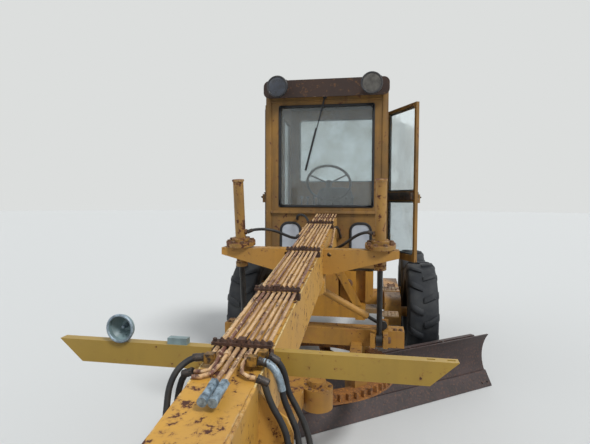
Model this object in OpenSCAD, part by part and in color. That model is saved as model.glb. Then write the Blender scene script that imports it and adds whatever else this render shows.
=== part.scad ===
// Motor grader: rigid frame, six wheels, circle and moldboard, cab with two doors.
// The front points along -Y and +X is the side of the open door. Millimetres, +Z up.

/* [Wheels] */
// Outside diameter of each tyre over its lugs
tyre_d = 1280; // [1200:10:1320]
// Width of each tyre
tyre_w = 352; // [320:2:380]
// Diameter of each rim where the tyre seats
rim_d = 610; // [580:5:640]
// Width of each rim between its flanges
rim_w = 204; // [190:2:220]
// Distance between the middles of a left and a right tyre
track = 2152; // [2120:4:2240]
// Height of each lug over the tread
lug_h = 30; // [22:1:40]
// Thickness of each lug along the tread
lug_t = 92; // [70:1:110]
// Lugs on each half of a tyre
lug_count = 14; // [10:1:16]
// Diameter of the stub that each wheel turns on
stub_d = 120; // [90:2:130]
// Diameter of each wheel's hub
hub_d = 230; // [200:2:260]

/* [Layout] */
// Distance from the front axle to the middle of the tandems
wheel_base = 5570; // [5500:10:5700]
// Distance between the two axles of a tandem
tandem_base = 1350; // [1340:5:1400]
// Distance from the front axle to the middle of the circle
circle_y = 2760; // [2720:10:2800]
// Distance from the front axle to the lift crossbeam
lift_y = 2681; // [2640:5:2720]
// Distance from the front axle to the front of the cab
cab_y = 3860; // [3840:5:3900]

/* [Main beam] */
// Width of the main beam
beam_w = 246; // [230:2:260]
// Depth of the main beam
beam_h = 300; // [260:5:320]
// Height of the beam's top, worked back to the front axle
beam_top_z = 1308; // [1290:2:1330]
// Rise of the beam's top for each millimetre of length
beam_rise = 0.141; // [0.13:0.001:0.15]
// Distance that the nose stands out before the front axle
nose_l = 470; // [430:5:500]
// Half length of the lamp bar
bar_half = 857; // [820:1:880]
// Distance from the front axle to the lamp bar
bar_y = 850; // [800:5:900]
// Height of the lamp bar's web
bar_h = 98; // [80:1:110]
// Width of the lamp bar's flanges
bar_flange = 47; // [40:1:55]
// Thickness of the lamp bar's steel
bar_t = 6; // [5:0.5:8]
// Outside diameter of the oil pipes on the beam
pipe_d = 17.5; // [14:0.5:20]
// Distance between neighbouring oil pipes
pipe_pitch = 28; // [24:1:30]

/* [Lift] */
// Distance from the middle to each lift cylinder
lift_x = 569; // [550:1:590]
// Height of the lift crossbeam's top
lift_z = 1652; // [1640:2:1664]
// Half length of the lift crossbeam
cross_half = 713; // [700:1:730]
// Outside diameter of each lift cylinder
lift_d = 84; // [76:1:96]
// Diameter of each lift rod
rod_d = 45; // [38:1:50]
// Lean of the lift cylinders
lift_lean = 8.5; // [8.2:0.05:8.8]
// Height of the pins that the lift rods hold
lift_pin_z = 900; // [890:2:910]
// Diameter of the pins that the lift rods hold
lift_pin_d = 44; // [36:1:48]

/* [Drawbar and circle] */
// Distance from the front axle to the drawbar's ball
ball_y = 250; // [240:2:270]
// Height of the drawbar's ball
ball_z = 700; // [690:2:710]
// Diameter of the drawbar's ball
ball_d = 110; // [90:2:120]
// Outside diameter of the circle over its teeth
circle_d = 1400; // [1380:4:1420]
// Width of the circle's ring below its teeth
circle_band = 90; // [80:1:100]
// Height of the circle's underside
circle_z = 636; // [630:2:650]
// Thickness of the circle
circle_t = 60; // [50:1:64]
// Teeth of the circle
circle_teeth = 68; // [60:4:76]
// Depth of the circle's teeth
tooth_h = 26; // [20:1:30]

/* [Moldboard] */
// Length of the moldboard
blade_l = 3050; // [2900:10:3100]
// Height of the moldboard over the cutting edge
blade_h = 560; // [540:5:570]
// Thickness of the moldboard
blade_t = 20; // [14:1:24]
// Radius of the moldboard's curve
blade_r = 400; // [380:5:460]
// Angle of the moldboard to the axles
blade_angle = 38; // [36:0.5:39]
// Distance that the moldboard is shifted along its length
blade_shift = 847; // [820:1:860]
// Distance of the moldboard's face behind the middle of the circle
blade_back = 152; // [140:2:160]
// Gap between the cutting edge and the ground
edge_gap = 4; // [2:1:8]

/* [Cab] */
// Half width of the cab
cab_half = 636; // [620:1:650]
// Length of the cab
cab_l = 1300; // [1270:10:1330]
// Height of the cab's floor
floor_z = 1326; // [1320:2:1332]
// Height of the top of the cab's walls
wall_z = 3230; // [3215:5:3245]
// Thickness of the cab's walls
wall_t = 40; // [34:1:46]
// Half width of the windscreen's opening
screen_half = 497; // [480:1:510]
// Height of the windscreen's lower edge
screen_low = 1973; // [1960:1:1990]
// Height of the windscreen's upper edge
screen_high = 3035; // [3020:1:3050]
// Width of each door
door_w = 640; // [620:5:650]
// Angle that the left door stands open
door_open = 27; // [15:1:40]
// Thickness of the glass
glass_t = 6; // [5:0.5:8]

/* [Hidden] */

// Gap where curved faces of different bodies meet, and where a shaft runs in its bore
seat_gap = 0.3;
run_gap = 0.5;

// Shared levels and places
axle_z = tyre_d / 2;
mid_y = wheel_base - tandem_base / 2;
rear_y = wheel_base + tandem_base / 2;
tread_r = tyre_d / 2 - lug_h;
cab_back_y = cab_y + cab_l;
function beam_z(y) = beam_top_z + beam_rise * y;
beam_tilt = atan(beam_rise);

// The moldboard's own directions: u runs along it and v runs back from it
blade_mid = blade_shift;
tip_u = blade_mid + blade_l / 2;
tip_x = tip_u * cos(blade_angle) - blade_back * sin(blade_angle);
tip_y = circle_y + tip_u * sin(blade_angle) + blade_back * cos(blade_angle);

// The whole stands with the middle of its footprint at the origin
tail_y = 7180;
left_x = -(track / 2 + tyre_w / 2);
origin_x = (tip_x + left_x) / 2;
origin_y = (tail_y - tyre_d / 2) / 2;
module placed() { translate([-origin_x, -origin_y, 0]) children(); }

// A box from its lowest to its highest corner
module block(low, high) { translate(low) cube(high - low); }

// A round bar from one point to another along X
module round_x(x0, x1, y, z, d) {
    translate([x0, y, z]) rotate([0, 90, 0]) cylinder(h = x1 - x0, d = d, $fn = 48);
}

// A round bar along Y
module round_y(x, y0, y1, z, d) {
    translate([x, y0, z]) rotate([-90, 0, 0]) cylinder(h = y1 - y0, d = d, $fn = 48);
}

// A flat shape drawn in Y and Z, made thick from x0 to x1
module side_plate(x0, x1) {
    translate([x0, 0, 0]) rotate([90, 0, 90]) linear_extrude(x1 - x0) children();
}

// A flat shape drawn in X and Z, made thick from y0 to y1
module front_plate(y0, y1) {
    translate([0, y1, 0]) rotate([90, 0, 0]) linear_extrude(y1 - y0) children();
}

// A rectangle with round corners, from its low to its high corner
module round_rect(low, high, r) {
    hull() for (x = [low[0] + r, high[0] - r], y = [low[1] + r, high[1] - r])
        translate([x, y]) circle(r, $fn = 32);
}

// A hose or pipe swept along points, as one closed tube with flat ends
function unit(v) = v / norm(v);
function path_dir(p, i) = unit(p[min(i + 1, len(p) - 1)] - p[max(i - 1, 0)]);
function side_dir(d) = unit(cross(d, abs(d[2]) > 0.9 ? [0, 1, 0] : [0, 0, 1]));
// Each ring's side is the last one's, squared to the path, so that the tube doesn't twist
function sides_along(p, i, s) = i == len(p) ? []
    : let (t = path_dir(p, i), held = unit(s - (s * t) * t)) concat([held], sides_along(p, i + 1, held));
module swept(p, d, sides = 8) {
    across = sides_along(p, 0, side_dir(path_dir(p, 0)));
    rings = [for (i = [0 : len(p) - 1])
        let (t = path_dir(p, i), s = across[i], n = cross(s, t))
        for (k = [0 : sides - 1])
            p[i] + d / 2 * (s * cos(k * 360 / sides) + n * sin(k * 360 / sides))];
    last = len(p) - 1;
    walls = [for (i = [0 : last - 1], k = [0 : sides - 1])
        [i * sides + k, i * sides + (k + 1) % sides,
            (i + 1) * sides + (k + 1) % sides, (i + 1) * sides + k]];
    ends = [[for (k = [sides - 1 : -1 : 0]) k], [for (k = [0 : sides - 1]) last * sides + k]];
    polyhedron(rings, concat(walls, ends), convexity = 6);
}

// Tyre: a carcass of revolution with staggered bars that lean to the shoulders
module tyre_at(x, y) {
    bead_r = rim_d / 2 + seat_gap;
    half = tyre_w / 2;
    bead_half = rim_w / 2 - 2;
    // radius and half width of the carcass, from bead to shoulder
    side = [[bead_r, bead_half], [bead_r + 27, bead_half], [bead_r + 120, half],
        [tread_r - 37, half - 8], [tread_r, half - 38]];
    outline = concat(side, [for (i = [len(side) - 1 : -1 : 0]) [side[i][0], -side[i][1]]]);
    bury = 40;
    lean = 90;
    // radius and half width that the worn lugs are rounded down to
    worn = [[tread_r - 90, half - 2], [tyre_d / 2 - 34, half - 4], [tyre_d / 2 - 8, half - 26],
        [tyre_d / 2, half - 60]];
    worn_outline = concat(worn, [for (i = [len(worn) - 1 : -1 : 0]) [worn[i][0], -worn[i][1]]]);
    color("#33363b") translate([x, y, axle_z]) {
        rotate([0, 90, 0]) rotate_extrude($fn = 30) polygon(outline);
        intersection() {
            rotate([0, 90, 0]) rotate_extrude($fn = 28) polygon(worn_outline);
            for (i = [0 : lug_count - 1], s = [-1, 1])
                rotate([(i + (s > 0 ? 0.5 : 0)) * 360 / lug_count, 0, 0])
                    translate([0, 0, tread_r - bury]) linear_extrude(lug_h + bury + 20)
                        polygon([[s * 8, -lug_t / 2], [s * half, -lug_t / 2 + lean],
                            [s * half, lug_t / 2 + lean], [s * 8, lug_t / 2]]);
        }
    }
}

// Rim: barrel with two flanges, a dished disc with hand holes and a bored hub
module rim_at(x, y, side) {
    r = rim_d / 2;
    half = rim_w / 2;
    barrel_t = 9;
    flange_t = 12;
    flange_h = 24;
    disc_t = 16;
    disc_x = 46;
    hub_in = 62;
    hub_out = 96;
    hole_d = 62;
    holes = 8;
    color("#8c6f2d") translate([x, y, axle_z]) rotate([0, 0, side > 0 ? 0 : 180])
        difference() {
            rotate([0, 90, 0]) rotate_extrude($fn = 48) {
                polygon([[r - barrel_t, -half - flange_t], [r + flange_h, -half - flange_t],
                    [r + flange_h, -half], [r, -half], [r, half], [r + flange_h, half],
                    [r + flange_h, half + flange_t], [r - barrel_t, half + flange_t]]);
                polygon([[hub_d / 2 - 5, disc_x - 30], [r - barrel_t + 1, disc_x],
                    [r - barrel_t + 1, disc_x + disc_t], [hub_d / 2 - 5, disc_x - 30 + disc_t]]);
                translate([0, -hub_in]) square([hub_d / 2, hub_in + hub_out]);
            }
            rotate([0, 90, 0]) translate([0, 0, -hub_in - 1])
                cylinder(h = hub_in + 61, d = stub_d + 2 * run_gap, $fn = 48);
            for (i = [0 : holes - 1]) rotate([i * 360 / holes, 0, 0])
                translate([-half, 0, (hub_d / 2 + r) / 2]) rotate([0, 90, 0])
                    cylinder(h = 2 * half + flange_t, d = hole_d, $fn = 32);
        }
}

// Main beam: a long box that climbs to the cab, and a nose that bends down to the front axle
module main_beam() {
    back = cab_y - seat_gap;
    boss_z = axle_z + 105;
    neck_back = 180;
    front_y = -nose_l;
    gusset_y = 632;
    gusset_t = 12;
    seam_d = 16;
    bracket_half = beam_w / 2 + 14;
    color("#c8922f") difference() {
        union() {
            side_plate(-beam_w / 2, beam_w / 2)
                polygon([[front_y, beam_z(front_y) - 90], [front_y + 70, beam_z(front_y + 70)],
                    [back, beam_z(back)], [back, beam_z(back) - beam_h],
                    [620, beam_z(620) - beam_h], [500, ball_z + 115],
                    [neck_back, boss_z + 40], [neck_back, ball_z + 60], [neck_back, axle_z - 60],
                    [90, axle_z - 60], [90, boss_z], [-90, boss_z],
                    [-90, axle_z - 60], [-neck_back, axle_z - 60], [-neck_back, boss_z + 40],
                    [front_y + 20, beam_z(front_y) - 300]]);
            // flared gussets before the lamp bar: direction and share of the full reach
            for (side = [[1, 1], [-1, 0.25]]) front_plate(gusset_y - gusset_t, gusset_y)
                translate([side[0] * beam_w / 2, beam_z(gusset_y)])
                    scale([side[0] * side[1], 1])
                        polygon([[0, -48], [52, -108], [104, -140], [126, -190], [128, -230],
                            [128, -308], [0, -408], [-40, -228]]);
            // weld seam along the top edge of the nose
            translate([beam_w / 2, front_y + 90, beam_z(front_y + 90)])
                rotate([-90 + beam_tilt, 0, 0])
                    cylinder(h = bar_y - front_y - 380, d = seam_d, $fn = 16);
            // bracket plate below the lift crossbeam
            front_plate(lift_y - 55, bracket_back)
                polygon([[-bracket_half, lift_z - cross_deep], [bracket_half, lift_z - cross_deep],
                    [bracket_half, lift_z - 350], [60, lift_z - 400], [-60, lift_z - 400],
                    [-bracket_half, lift_z - 330]]);
        }
        // bore of the axle's long pin
        round_y(0, -neck_back - 1, neck_back + 1, axle_z, axle_pin_d);
        // socket of the drawbar's ball
        translate([0, ball_y, ball_z]) sphere(d = ball_d + 2 * socket_gap, $fn = 48);
    }
    // ball stud of the side swing cylinder
    color("#6d6a66") {
        round_y(swing_top[0], bracket_back - 2, swing_top[1], swing_top[2], 24);
        translate(swing_top) sphere(d = swing_ball_d, $fn = 48);
    }
    // cup that holds the drawbar's ball
    color("#c8922f") difference() {
        round_y(0, neck_back, ball_y + 22, ball_z, ball_d + 64);
        translate([0, ball_y, ball_z]) sphere(d = ball_d + 2 * socket_gap, $fn = 48);
        round_y(0, ball_y, ball_y + 60, ball_z, ball_d - 4);
    }
}
axle_pin_d = 60;
socket_gap = 0.6;
bracket_back = lift_y + 5;

// Front axle: a deep centre that tapers to the kingpin bosses
kingpin_x = 800;
kingpin_d = 56;
boss_h = 120;
module front_axle() {
    half_t = 84;
    color("#c8922f") {
        difference() {
            union() {
                front_plate(-half_t, half_t)
                    polygon([[-150, axle_z + 88], [150, axle_z + 88],
                        [kingpin_x - 60, axle_z + boss_h / 2], [kingpin_x - 60, axle_z - boss_h / 2],
                        [150, axle_z - 88], [-150, axle_z - 88],
                        [-kingpin_x + 60, axle_z - boss_h / 2],
                        [-kingpin_x + 60, axle_z + boss_h / 2]]);
                for (s = [-1, 1]) translate([s * kingpin_x, 0, axle_z - boss_h / 2]) {
                    cylinder(h = boss_h, d = 120, $fn = 48);
                    translate([s > 0 ? -70 : 0, -55, 0]) cube([70, 110, boss_h]);
                }
            }
            round_y(0, -half_t - 1, half_t + 1, axle_z, axle_pin_d);
            for (s = [-1, 1]) translate([s * kingpin_x, 0, axle_z - boss_h / 2 - 1])
                cylinder(h = boss_h + 2, d = kingpin_d + 2 * run_gap, $fn = 48);
        }
        // the long pin on which the axle rocks
        round_y(0, -176, 176, axle_z, axle_pin_d - 2 * seat_gap);
    }
}

// Steering knuckle: two ears round the axle's boss, kingpin, stub and steering arm
arm_back = 200;
arm_pin_d = 30;
module knuckle(s) {
    ear_t = 34;
    ear_gap = 3;
    ear_low = axle_z - boss_h / 2 - ear_gap - ear_t;
    ear_high = axle_z + boss_h / 2 + ear_gap;
    stub_end = track / 2 + 55;
    color("#7a6130") {
        for (z = [ear_low, ear_high]) translate([s * kingpin_x, 0, z]) {
            cylinder(h = ear_t, d = 118, $fn = 48);
            translate([s > 0 ? 0 : -104, -50, 0]) cube([104, 100, ear_t]);
        }
        translate([s * kingpin_x, 0, ear_low]) cylinder(h = ear_high + ear_t - ear_low,
            d = kingpin_d, $fn = 48);
        block([s > 0 ? kingpin_x + 72 : -kingpin_x - 104, -50, ear_low],
            [s > 0 ? kingpin_x + 104 : -kingpin_x - 72, 50, ear_high + ear_t]);
        round_x(s > 0 ? kingpin_x + 90 : -stub_end, s > 0 ? stub_end : -kingpin_x - 90, 0, axle_z,
            stub_d);
        // steering arm, low behind the axle
        difference() {
            union() {
                translate([s * kingpin_x - 26, 0, ear_low]) cube([52, arm_back, ear_t]);
                translate([s * kingpin_x, arm_back, ear_low]) cylinder(h = ear_t, d = 70, $fn = 48);
            }
            translate([s * kingpin_x, arm_back, ear_low - 1])
                cylinder(h = ear_t + 2, d = arm_pin_d + 2 * run_gap, $fn = 48);
        }
    }
}

// Tie rod: a round bar between two ball ends below the steering arms
module tie_rod() {
    arm_low = axle_z - boss_h / 2 - 3 - 34;
    drop = 26;
    color("#5d5a55") {
        round_x(-kingpin_x, kingpin_x, arm_back, arm_low - drop, 38);
        for (s = [-1, 1]) translate([s * kingpin_x, arm_back, 0]) {
            translate([0, 0, arm_low - drop - 24]) cylinder(h = 46, d = 62, $fn = 48);
            translate([0, 0, arm_low - drop]) cylinder(h = drop + 40, d = arm_pin_d, $fn = 48);
        }
    }
}

// Rear frame: two rails, cross members, pedestal under the beam, braces and tow hitch
rail_x = 330;
rail_w = 100;
rail_low = 790;
rail_high = 950;
rail_start = 3800;
hitch_d = 40;
module rear_frame() {
    tail = tail_y - 130;
    brace_top = 1300;
    brace_w = 84;
    color("#a97c2c") {
        difference() {
            union() {
                for (s = [-1, 1]) {
                    block([s > 0 ? rail_x : -rail_x - rail_w, rail_start, rail_low],
                        [s > 0 ? rail_x + rail_w : -rail_x, tail, rail_high]);
                    // legs that carry the cab's floor
                    for (y = [cab_y + 90, cab_back_y - 210])
                        block([s > 0 ? rail_x : -rail_x - rail_w, y, rail_high],
                            [s > 0 ? rail_x + rail_w : -rail_x, y + 120, floor_z - 30]);
                }
                for (y = [rail_start, 5150, 6560, tail - 90])
                    block([-rail_x, y, rail_low + 20], [rail_x, y + 90, rail_high - 20]);
                // pedestal between the rails and the end of the beam
                block([-150, rail_start, rail_low + 20], [150, cab_y + 380, floor_z - 30]);
                block([-150, rail_start, rail_low + 20], [150, cab_y - seat_gap, 1530]);
                // slanted braces from the pedestal down to the rails
                for (s = [-1, 1]) front_plate(rail_start - 10, rail_start + 30)
                    polygon([[s * 114, brace_top], [s * (114 + brace_w), brace_top],
                        [s * (310 + brace_w), rail_high - 5], [s * 310, rail_high - 5]]);
                // rear plate
                block([-470, tail, 700], [470, tail + 40, 1010]);
                for (z = [760, 850]) block([-80, tail + 40, z], [80, tail_y, z + 34]);
            }
            // bore of the tow pin
            translate([0, tail_y - 40, 740]) cylinder(h = 170, d = hitch_d, $fn = 48);
        }
    }
}

// Rear axle: housing across the machine, drive case and the feet under the rails
case_in = track / 2 - 426;
module rear_axle() {
    housing_d = 290;
    color("#a97c2c") {
        round_x(-case_in, case_in, wheel_base, axle_z, housing_d);
        block([-200, wheel_base - 260, axle_z - 160], [200, wheel_base + 260, rail_low + 30 - seat_gap]);
        for (s = [-1, 1]) block([s > 0 ? rail_x : -rail_x - rail_w, wheel_base - 150, axle_z],
            [s > 0 ? rail_x + rail_w : -rail_x, wheel_base + 150, rail_low]);
    }
}

// Tandem cases: long chain cases with a stub for each wheel
module tandem_cases() {
    case_r = 185;
    case_out = case_in + 200;
    stub_end = track / 2 + 55;
    color("#9c7530") for (s = [-1, 1]) {
        x0 = s > 0 ? case_in : -case_out;
        x1 = s > 0 ? case_out : -case_in;
        for (y = [mid_y, rear_y]) {
            round_x(x0, x1, y, axle_z, 2 * case_r);
            round_x(s > 0 ? case_out - 1 : -stub_end, s > 0 ? stub_end : -case_out + 1, y, axle_z,
                stub_d);
        }
        block([x0, mid_y, axle_z - case_r], [x1, rear_y, axle_z + case_r]);
        round_x(s > 0 ? case_out - 1 : -case_out - 22, s > 0 ? case_out + 22 : -case_out + 1,
            wheel_base, axle_z, 260);
    }
}

// Lamp bar: a channel of bent plate on each side of the beam, with slanted ends
slot_xs = [753, 830];
module lamp_bar() {
    top = beam_z(bar_y) - 8;
    slant = 110;
    slot_l = 34;
    slot_w = 13;
    color("#9a7f3a") for (s = [-1, 1]) difference() {
        scale_x(s) translate([beam_w / 2, bar_y, 0]) rotate([90, 0, 90])
            linear_extrude(bar_half - beam_w / 2) {
                translate([0, top - bar_h]) square([bar_t, bar_h]);
                translate([0, top - bar_t]) square([bar_flange, bar_t]);
                translate([0, top - bar_h]) square([bar_flange, bar_t]);
            }
        front_plate(bar_y - 1, bar_y + bar_flange + 1)
            polygon([[s * (bar_half + 1), top + 1], [s * (bar_half + 1), top - bar_h - 1],
                [s * (bar_half - slant), top - bar_h - 1]]);
        if (s > 0) for (x = slot_xs) translate([x, bar_y + bar_flange / 2 + 3, top - bar_t - 1]) {
            translate([-slot_l / 2 + slot_w / 2, 0, 0]) cylinder(h = bar_t + 2, d = slot_w, $fn = 24);
            translate([slot_l / 2 - slot_w / 2, 0, 0]) cylinder(h = bar_t + 2, d = slot_w, $fn = 24);
            translate([-slot_l / 2 + slot_w / 2, -slot_w / 2, 0])
                cube([slot_l - slot_w, slot_w, bar_t + 2]);
        }
    }
}
module scale_x(s) { if (s > 0) children(); else mirror([1, 0, 0]) children(); }

// Lamp bucket without its glass on a short bracket, and the small marker box beside it
lamp_x = -557;
module bar_lamp() {
    top = beam_z(bar_y) - 8;
    r = 57;
    depth = 66;
    wall = 3;
    z = top + 62;
    y = bar_y + 12;
    color("#8fa093") {
        translate([lamp_x, y - 26, z]) rotate([-90, 0, 0]) rotate_extrude($fn = 48)
            polygon([[r - wall, 0], [r + 4, 0], [r + 4, 8], [r, 8], [r, 26], [r * 0.45, depth],
                [0, depth], [0, depth - wall], [r * 0.42, depth - wall], [r - wall, 25]]);
        translate([lamp_x, bar_y + 30, top]) cylinder(h = 24, d = 22, $fn = 24);
        block([-345, bar_y + 6, top], [-257, bar_y + 40, top + 28]);
    }
}

// Oil pipes: eight lines side by side along the beam's top, three of them bent down at the front
pipe_lift = 40;
pipe_mid = 16;
pipe_count = 8;
pipe_end = cab_y - 1.5;
function pipe_x(i) = pipe_mid + (i - (pipe_count - 1) / 2) * pipe_pitch;
function over_beam(x, y, up) = [x, y, beam_z(y) + up];
// where each pipe's straight run starts
pipe_fronts = [690, 708, 708, 505, 505, 708, 690, 735];
module beam_run(x, y0, y1, up, d, sides = 24) {
    translate(over_beam(x, y0, up)) rotate([-90 + beam_tilt, 0, 0])
        cylinder(h = (y1 - y0) / cos(beam_tilt), d = d, $fn = sides);
}
module beam_pipes() {
    // pipe, then places of its bent end: sideways from the pipe, along, height over the beam
    bends = [[1, [[0, 702, 39], [0, 650, 27], [-14, 628, 16], [-40, 620, 11], [-70, 620, 10]]],
        [2, [[0, 702, 39], [-6, 640, 32], [-24, 600, 19], [-59, 585, 12], [-92, 583, 10]]],
        [5, [[0, 702, 39], [-6, 650, 32], [2, 615, 21], [32, 600, 15], [60, 598, 14]]]];
    clip_t = 20;
    color("#b08a6c") {
        for (i = [0 : pipe_count - 1]) beam_run(pipe_x(i), pipe_fronts[i], pipe_end, pipe_lift, pipe_d);
        for (bend = bends) {
            swept([for (p = bend[1]) over_beam(pipe_x(bend[0]) + p[0], p[1], p[2])], pipe_d - 1, 12);
            // collar where the bent end meets the straight run
            beam_run(pipe_x(bend[0]), 694, 718, pipe_lift, pipe_d + 9);
        }
        // a line on each side of the beam, from the lift cylinders' hoses to the cab's, on a clip
        for (line = side_lines) {
            swept(line, pipe_d, 12);
            translate(line[1]) scale_x(line[1][0])
                block([beam_w / 2 + seat_gap - side_out, -clip_t, -14], [12, clip_t, 14]);
        }
    }
}
side_out = beam_w / 2 + 19;
side_lines = [[over_beam(-side_out, 3000, -4), over_beam(-side_out, 3300, -4),
        over_beam(-side_out, 3560, -4)],
    [over_beam(side_out, 3000, -99), over_beam(side_out, 3100, -100),
        over_beam(side_out, 3420, -20)]];

// Unions: elbow blocks and capped ends at the pipes' fronts, hexagon nuts before the cab
module pipe_unions() {
    block_w = 36;
    // room for the slanted end of a pipe before a block
    end_gap = 1.5;
    nut_y = 3600;
    // start, end, diameter and sides of the pieces of a capped end: hexagon, cap and plug
    cap = [[470, 505, 37, 6], [409, 471, 31, 24], [385, 410, 34, 24]];
    spread = 4;
    color("#8fa3b0") {
        for (i = [3, 4], piece = cap) beam_run(pipe_x(i) + (i > 3 ? spread : -spread), piece[0],
            piece[1] - seat_gap, pipe_lift, piece[2], piece[3]);
        for (i = [0, 6, 7]) translate(over_beam(pipe_x(i), pipe_fronts[i] - block_w / 2 - end_gap,
            pipe_lift)) cube(block_w, center = true);
        for (i = [0 : pipe_count - 1]) difference() {
            beam_run(pipe_x(i), nut_y, nut_y + 40, pipe_lift, pipe_pitch - 2, 6);
            beam_run(pipe_x(i), nut_y - 2, nut_y + 42, pipe_lift, pipe_d + 2 * seat_gap);
        }
    }
}

// Clamps: two pairs of bars in each row, with the pipes between them and a raised bolt block
clamp_ys = [760, 1410, 2280, 3300];
module pipe_clamps() {
    out = 26;
    deep = 34;
    // height of the pipes' axes square to the beam's top
    lift = pipe_lift * cos(beam_tilt);
    low = lift - pipe_d / 2 - seat_gap;
    high = lift + pipe_d / 2 + seat_gap;
    color("#7b5a3c") for (y = clamp_ys) translate([0, y, beam_z(y)]) rotate([beam_tilt, 0, 0]) {
        block([pipe_x(0) - out, 0, seat_gap], [pipe_x(7) + out, deep, low]);
        for (ends = [[pipe_x(0) - out, pipe_x(3) + out / 2], [pipe_x(4) - out / 2, pipe_x(7) + out]])
            block([ends[0], 0, high], [ends[1], deep, high + 12]);
        block([pipe_mid - 15, 2, high + 11], [pipe_mid + 15, deep - 2, high + 30]);
        for (x = [pipe_x(0) - out / 2 - 2, pipe_x(7) + out / 2 + 2], z = [low - 1, high + 11])
            translate([x, deep / 2, z]) cylinder(h = z < high ? high - low + 2 : 12, d = z < high ? 9
                : 18, $fn = z < high ? 16 : 6);
    }
}

// Hoses: from the pipes' front ends round the nose, from the lift cylinders to the beam's sides,
// and from there to the cab
hose_d = 24;
lift_port_up = 128;
lift_port_out = 56;
function lift_port(s) = [s * (lift_x - lift_port_out), lift_y - lift_port_up * sin(lift_lean),
    lift_z + lift_port_up * cos(lift_lean)];
// Where a hose's slanted flat end just clears the face that it leaves, along the face's normal
function off_face(place, normal, run) = place
    + normal * (seat_gap + hose_d / 2 * sqrt(1 - pow(unit(run) * normal, 2)));
// Moves a drawn route so that its ends meet two given places
function led(route, from, to) = let (last = len(route) - 1)
    [for (k = [0 : last]) route[k] + (1 - k / last) * (from - route[0]) + k / last * (to - route[last])];
module hose(from, from_out, to, to_out, route) {
    last = len(route) - 1;
    swept(led(route, off_face(from, from_out, route[1] - route[0]),
        off_face(to, to_out, route[last - 1] - route[last])), hose_d, 12);
}
module hoses() {
    side = beam_w / 2;
    // half of a union's block, and the way a face looks
    half = 18;
    left = [1, 0, 0];
    right = [-1, 0, 0];
    ahead = [0, -1, 0];
    behind = [0, 1, 0];
    color("#23252b") {
        hose(over_beam(pipe_x(7) + half, pipe_fronts[7] - half, pipe_lift), left,
            over_beam(side, 430, -524), left,
            [[134, 717, 1447], [156, 719, 1434], [177, 725, 1410], [193, 731, 1370],
                [208, 735, 1305], [240, 735, 1245], [272, 730, 1181], [297, 713, 1109],
                [303, 678, 1030], [286, 620, 956], [240, 545, 895], [184, 476, 859], [130, 430, 845]]);
        hose(over_beam(pipe_x(6) + half, pipe_fronts[6] - half, pipe_lift), left,
            over_beam(side, 390, -468), left,
            [[108, 672, 1443], [140, 672, 1436], [172, 670, 1412], [194, 667, 1366], [208, 664, 1307],
                [231, 662, 1253], [256, 655, 1194], [270, 635, 1125], [266, 598, 1048],
                [238, 528, 970], [190, 452, 918], [130, 390, 895]]);
        hose(over_beam(pipe_x(5) + 60, 598, 14), left, over_beam(side, 340, -421), left,
            [[120, 598, 1406], [136, 598, 1400], [149, 597, 1380], [160, 596, 1347], [179, 595, 1305],
                [205, 594, 1262], [229, 590, 1208], [240, 571, 1140], [232, 530, 1069],
                [204, 462, 1002], [168, 396, 957], [130, 340, 935]]);
        hose(over_beam(pipe_x(1) - 70, 620, 10), right, over_beam(-side, 400, -429), right,
            [[-125, 620, 1405], [-148, 621, 1398], [-168, 624, 1376], [-183, 627, 1338],
                [-192, 628, 1288], [-200, 620, 1215], [-200, 590, 1130], [-186, 530, 1043],
                [-162, 464, 976], [-130, 400, 935]]);
        hose(over_beam(pipe_x(0) - half, pipe_fronts[0] - half, pipe_lift), right,
            over_beam(-side, 360, -369), right,
            [[-104, 672, 1443], [-130, 664, 1443], [-162, 646, 1432], [-192, 618, 1402],
                [-208, 592, 1350], [-208, 566, 1278], [-199, 528, 1190], [-182, 476, 1105],
                [-158, 416, 1036], [-130, 360, 990]]);
        hose(lift_port(-1), left, side_lines[0][0], ahead,
            [[-509, 2662, 1778], [-484, 2667, 1787], [-447, 2680, 1797], [-385, 2703, 1800],
                [-325, 2728, 1792], [-272, 2755, 1775], [-222, 2790, 1750], [-180, 2836, 1728],
                [-152, 2890, 1717], [-142, 2945, 1719], [-142, 3000, 1727]]);
        hose(lift_port(1), right, side_lines[1][0], ahead,
            [[509, 2662, 1778], [486, 2668, 1786], [455, 2682, 1787], [412, 2705, 1774],
                [365, 2730, 1748], [318, 2758, 1712], [270, 2792, 1676], [218, 2838, 1645],
                [172, 2888, 1626], [146, 2942, 1624], [142, 3000, 1632]]);
        hose(side_lines[0][2], behind, [-300, cab_y, 1840], ahead,
            [[-142, 3560, 1806], [-144, 3598, 1816], [-156, 3642, 1838], [-186, 3694, 1868],
                [-226, 3742, 1887], [-268, 3788, 1886], [-294, 3826, 1866], [-300, 3852, 1840]]);
        hose(side_lines[1][2] + [0, 1, 0], behind, [163, cab_y, 1650], ahead,
            [[142, 3420, 1770], [145, 3480, 1778], [150, 3550, 1774], [156, 3630, 1752],
                [160, 3710, 1718], [162, 3790, 1680], [163, 3854, 1650]]);
    }
}

// Lift crossbeam: deep at the beam, shallow at its ends, bored for the lift cylinders
cross_deep = 195;
module lift_crossbeam() {
    t = 75;
    shallow = 57;
    flat = 190;
    pin_d = 34;
    color("#b9882e") difference() {
        front_plate(lift_y - t, lift_y + t)
            polygon([[-cross_half, lift_z], [-cross_half, lift_z - shallow],
                [-flat, lift_z - cross_deep], [flat, lift_z - cross_deep], [cross_half, lift_z - shallow],
                [cross_half, lift_z]]);
        block([-beam_w / 2 - seat_gap, lift_y - t - 1, lift_z - cross_deep - 1],
            [beam_w / 2 + seat_gap, lift_y + t + 1, lift_z + 1]);
        for (s = [-1, 1]) {
            lift_line(s) translate([0, 0, -300]) cylinder(h = 600, d = lift_d + 2 * seat_gap, $fn = 48);
            round_y(s * 172, lift_y - t - 1, lift_y + t + 1, lift_z - 40, pin_d);
        }
    }
}

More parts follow.
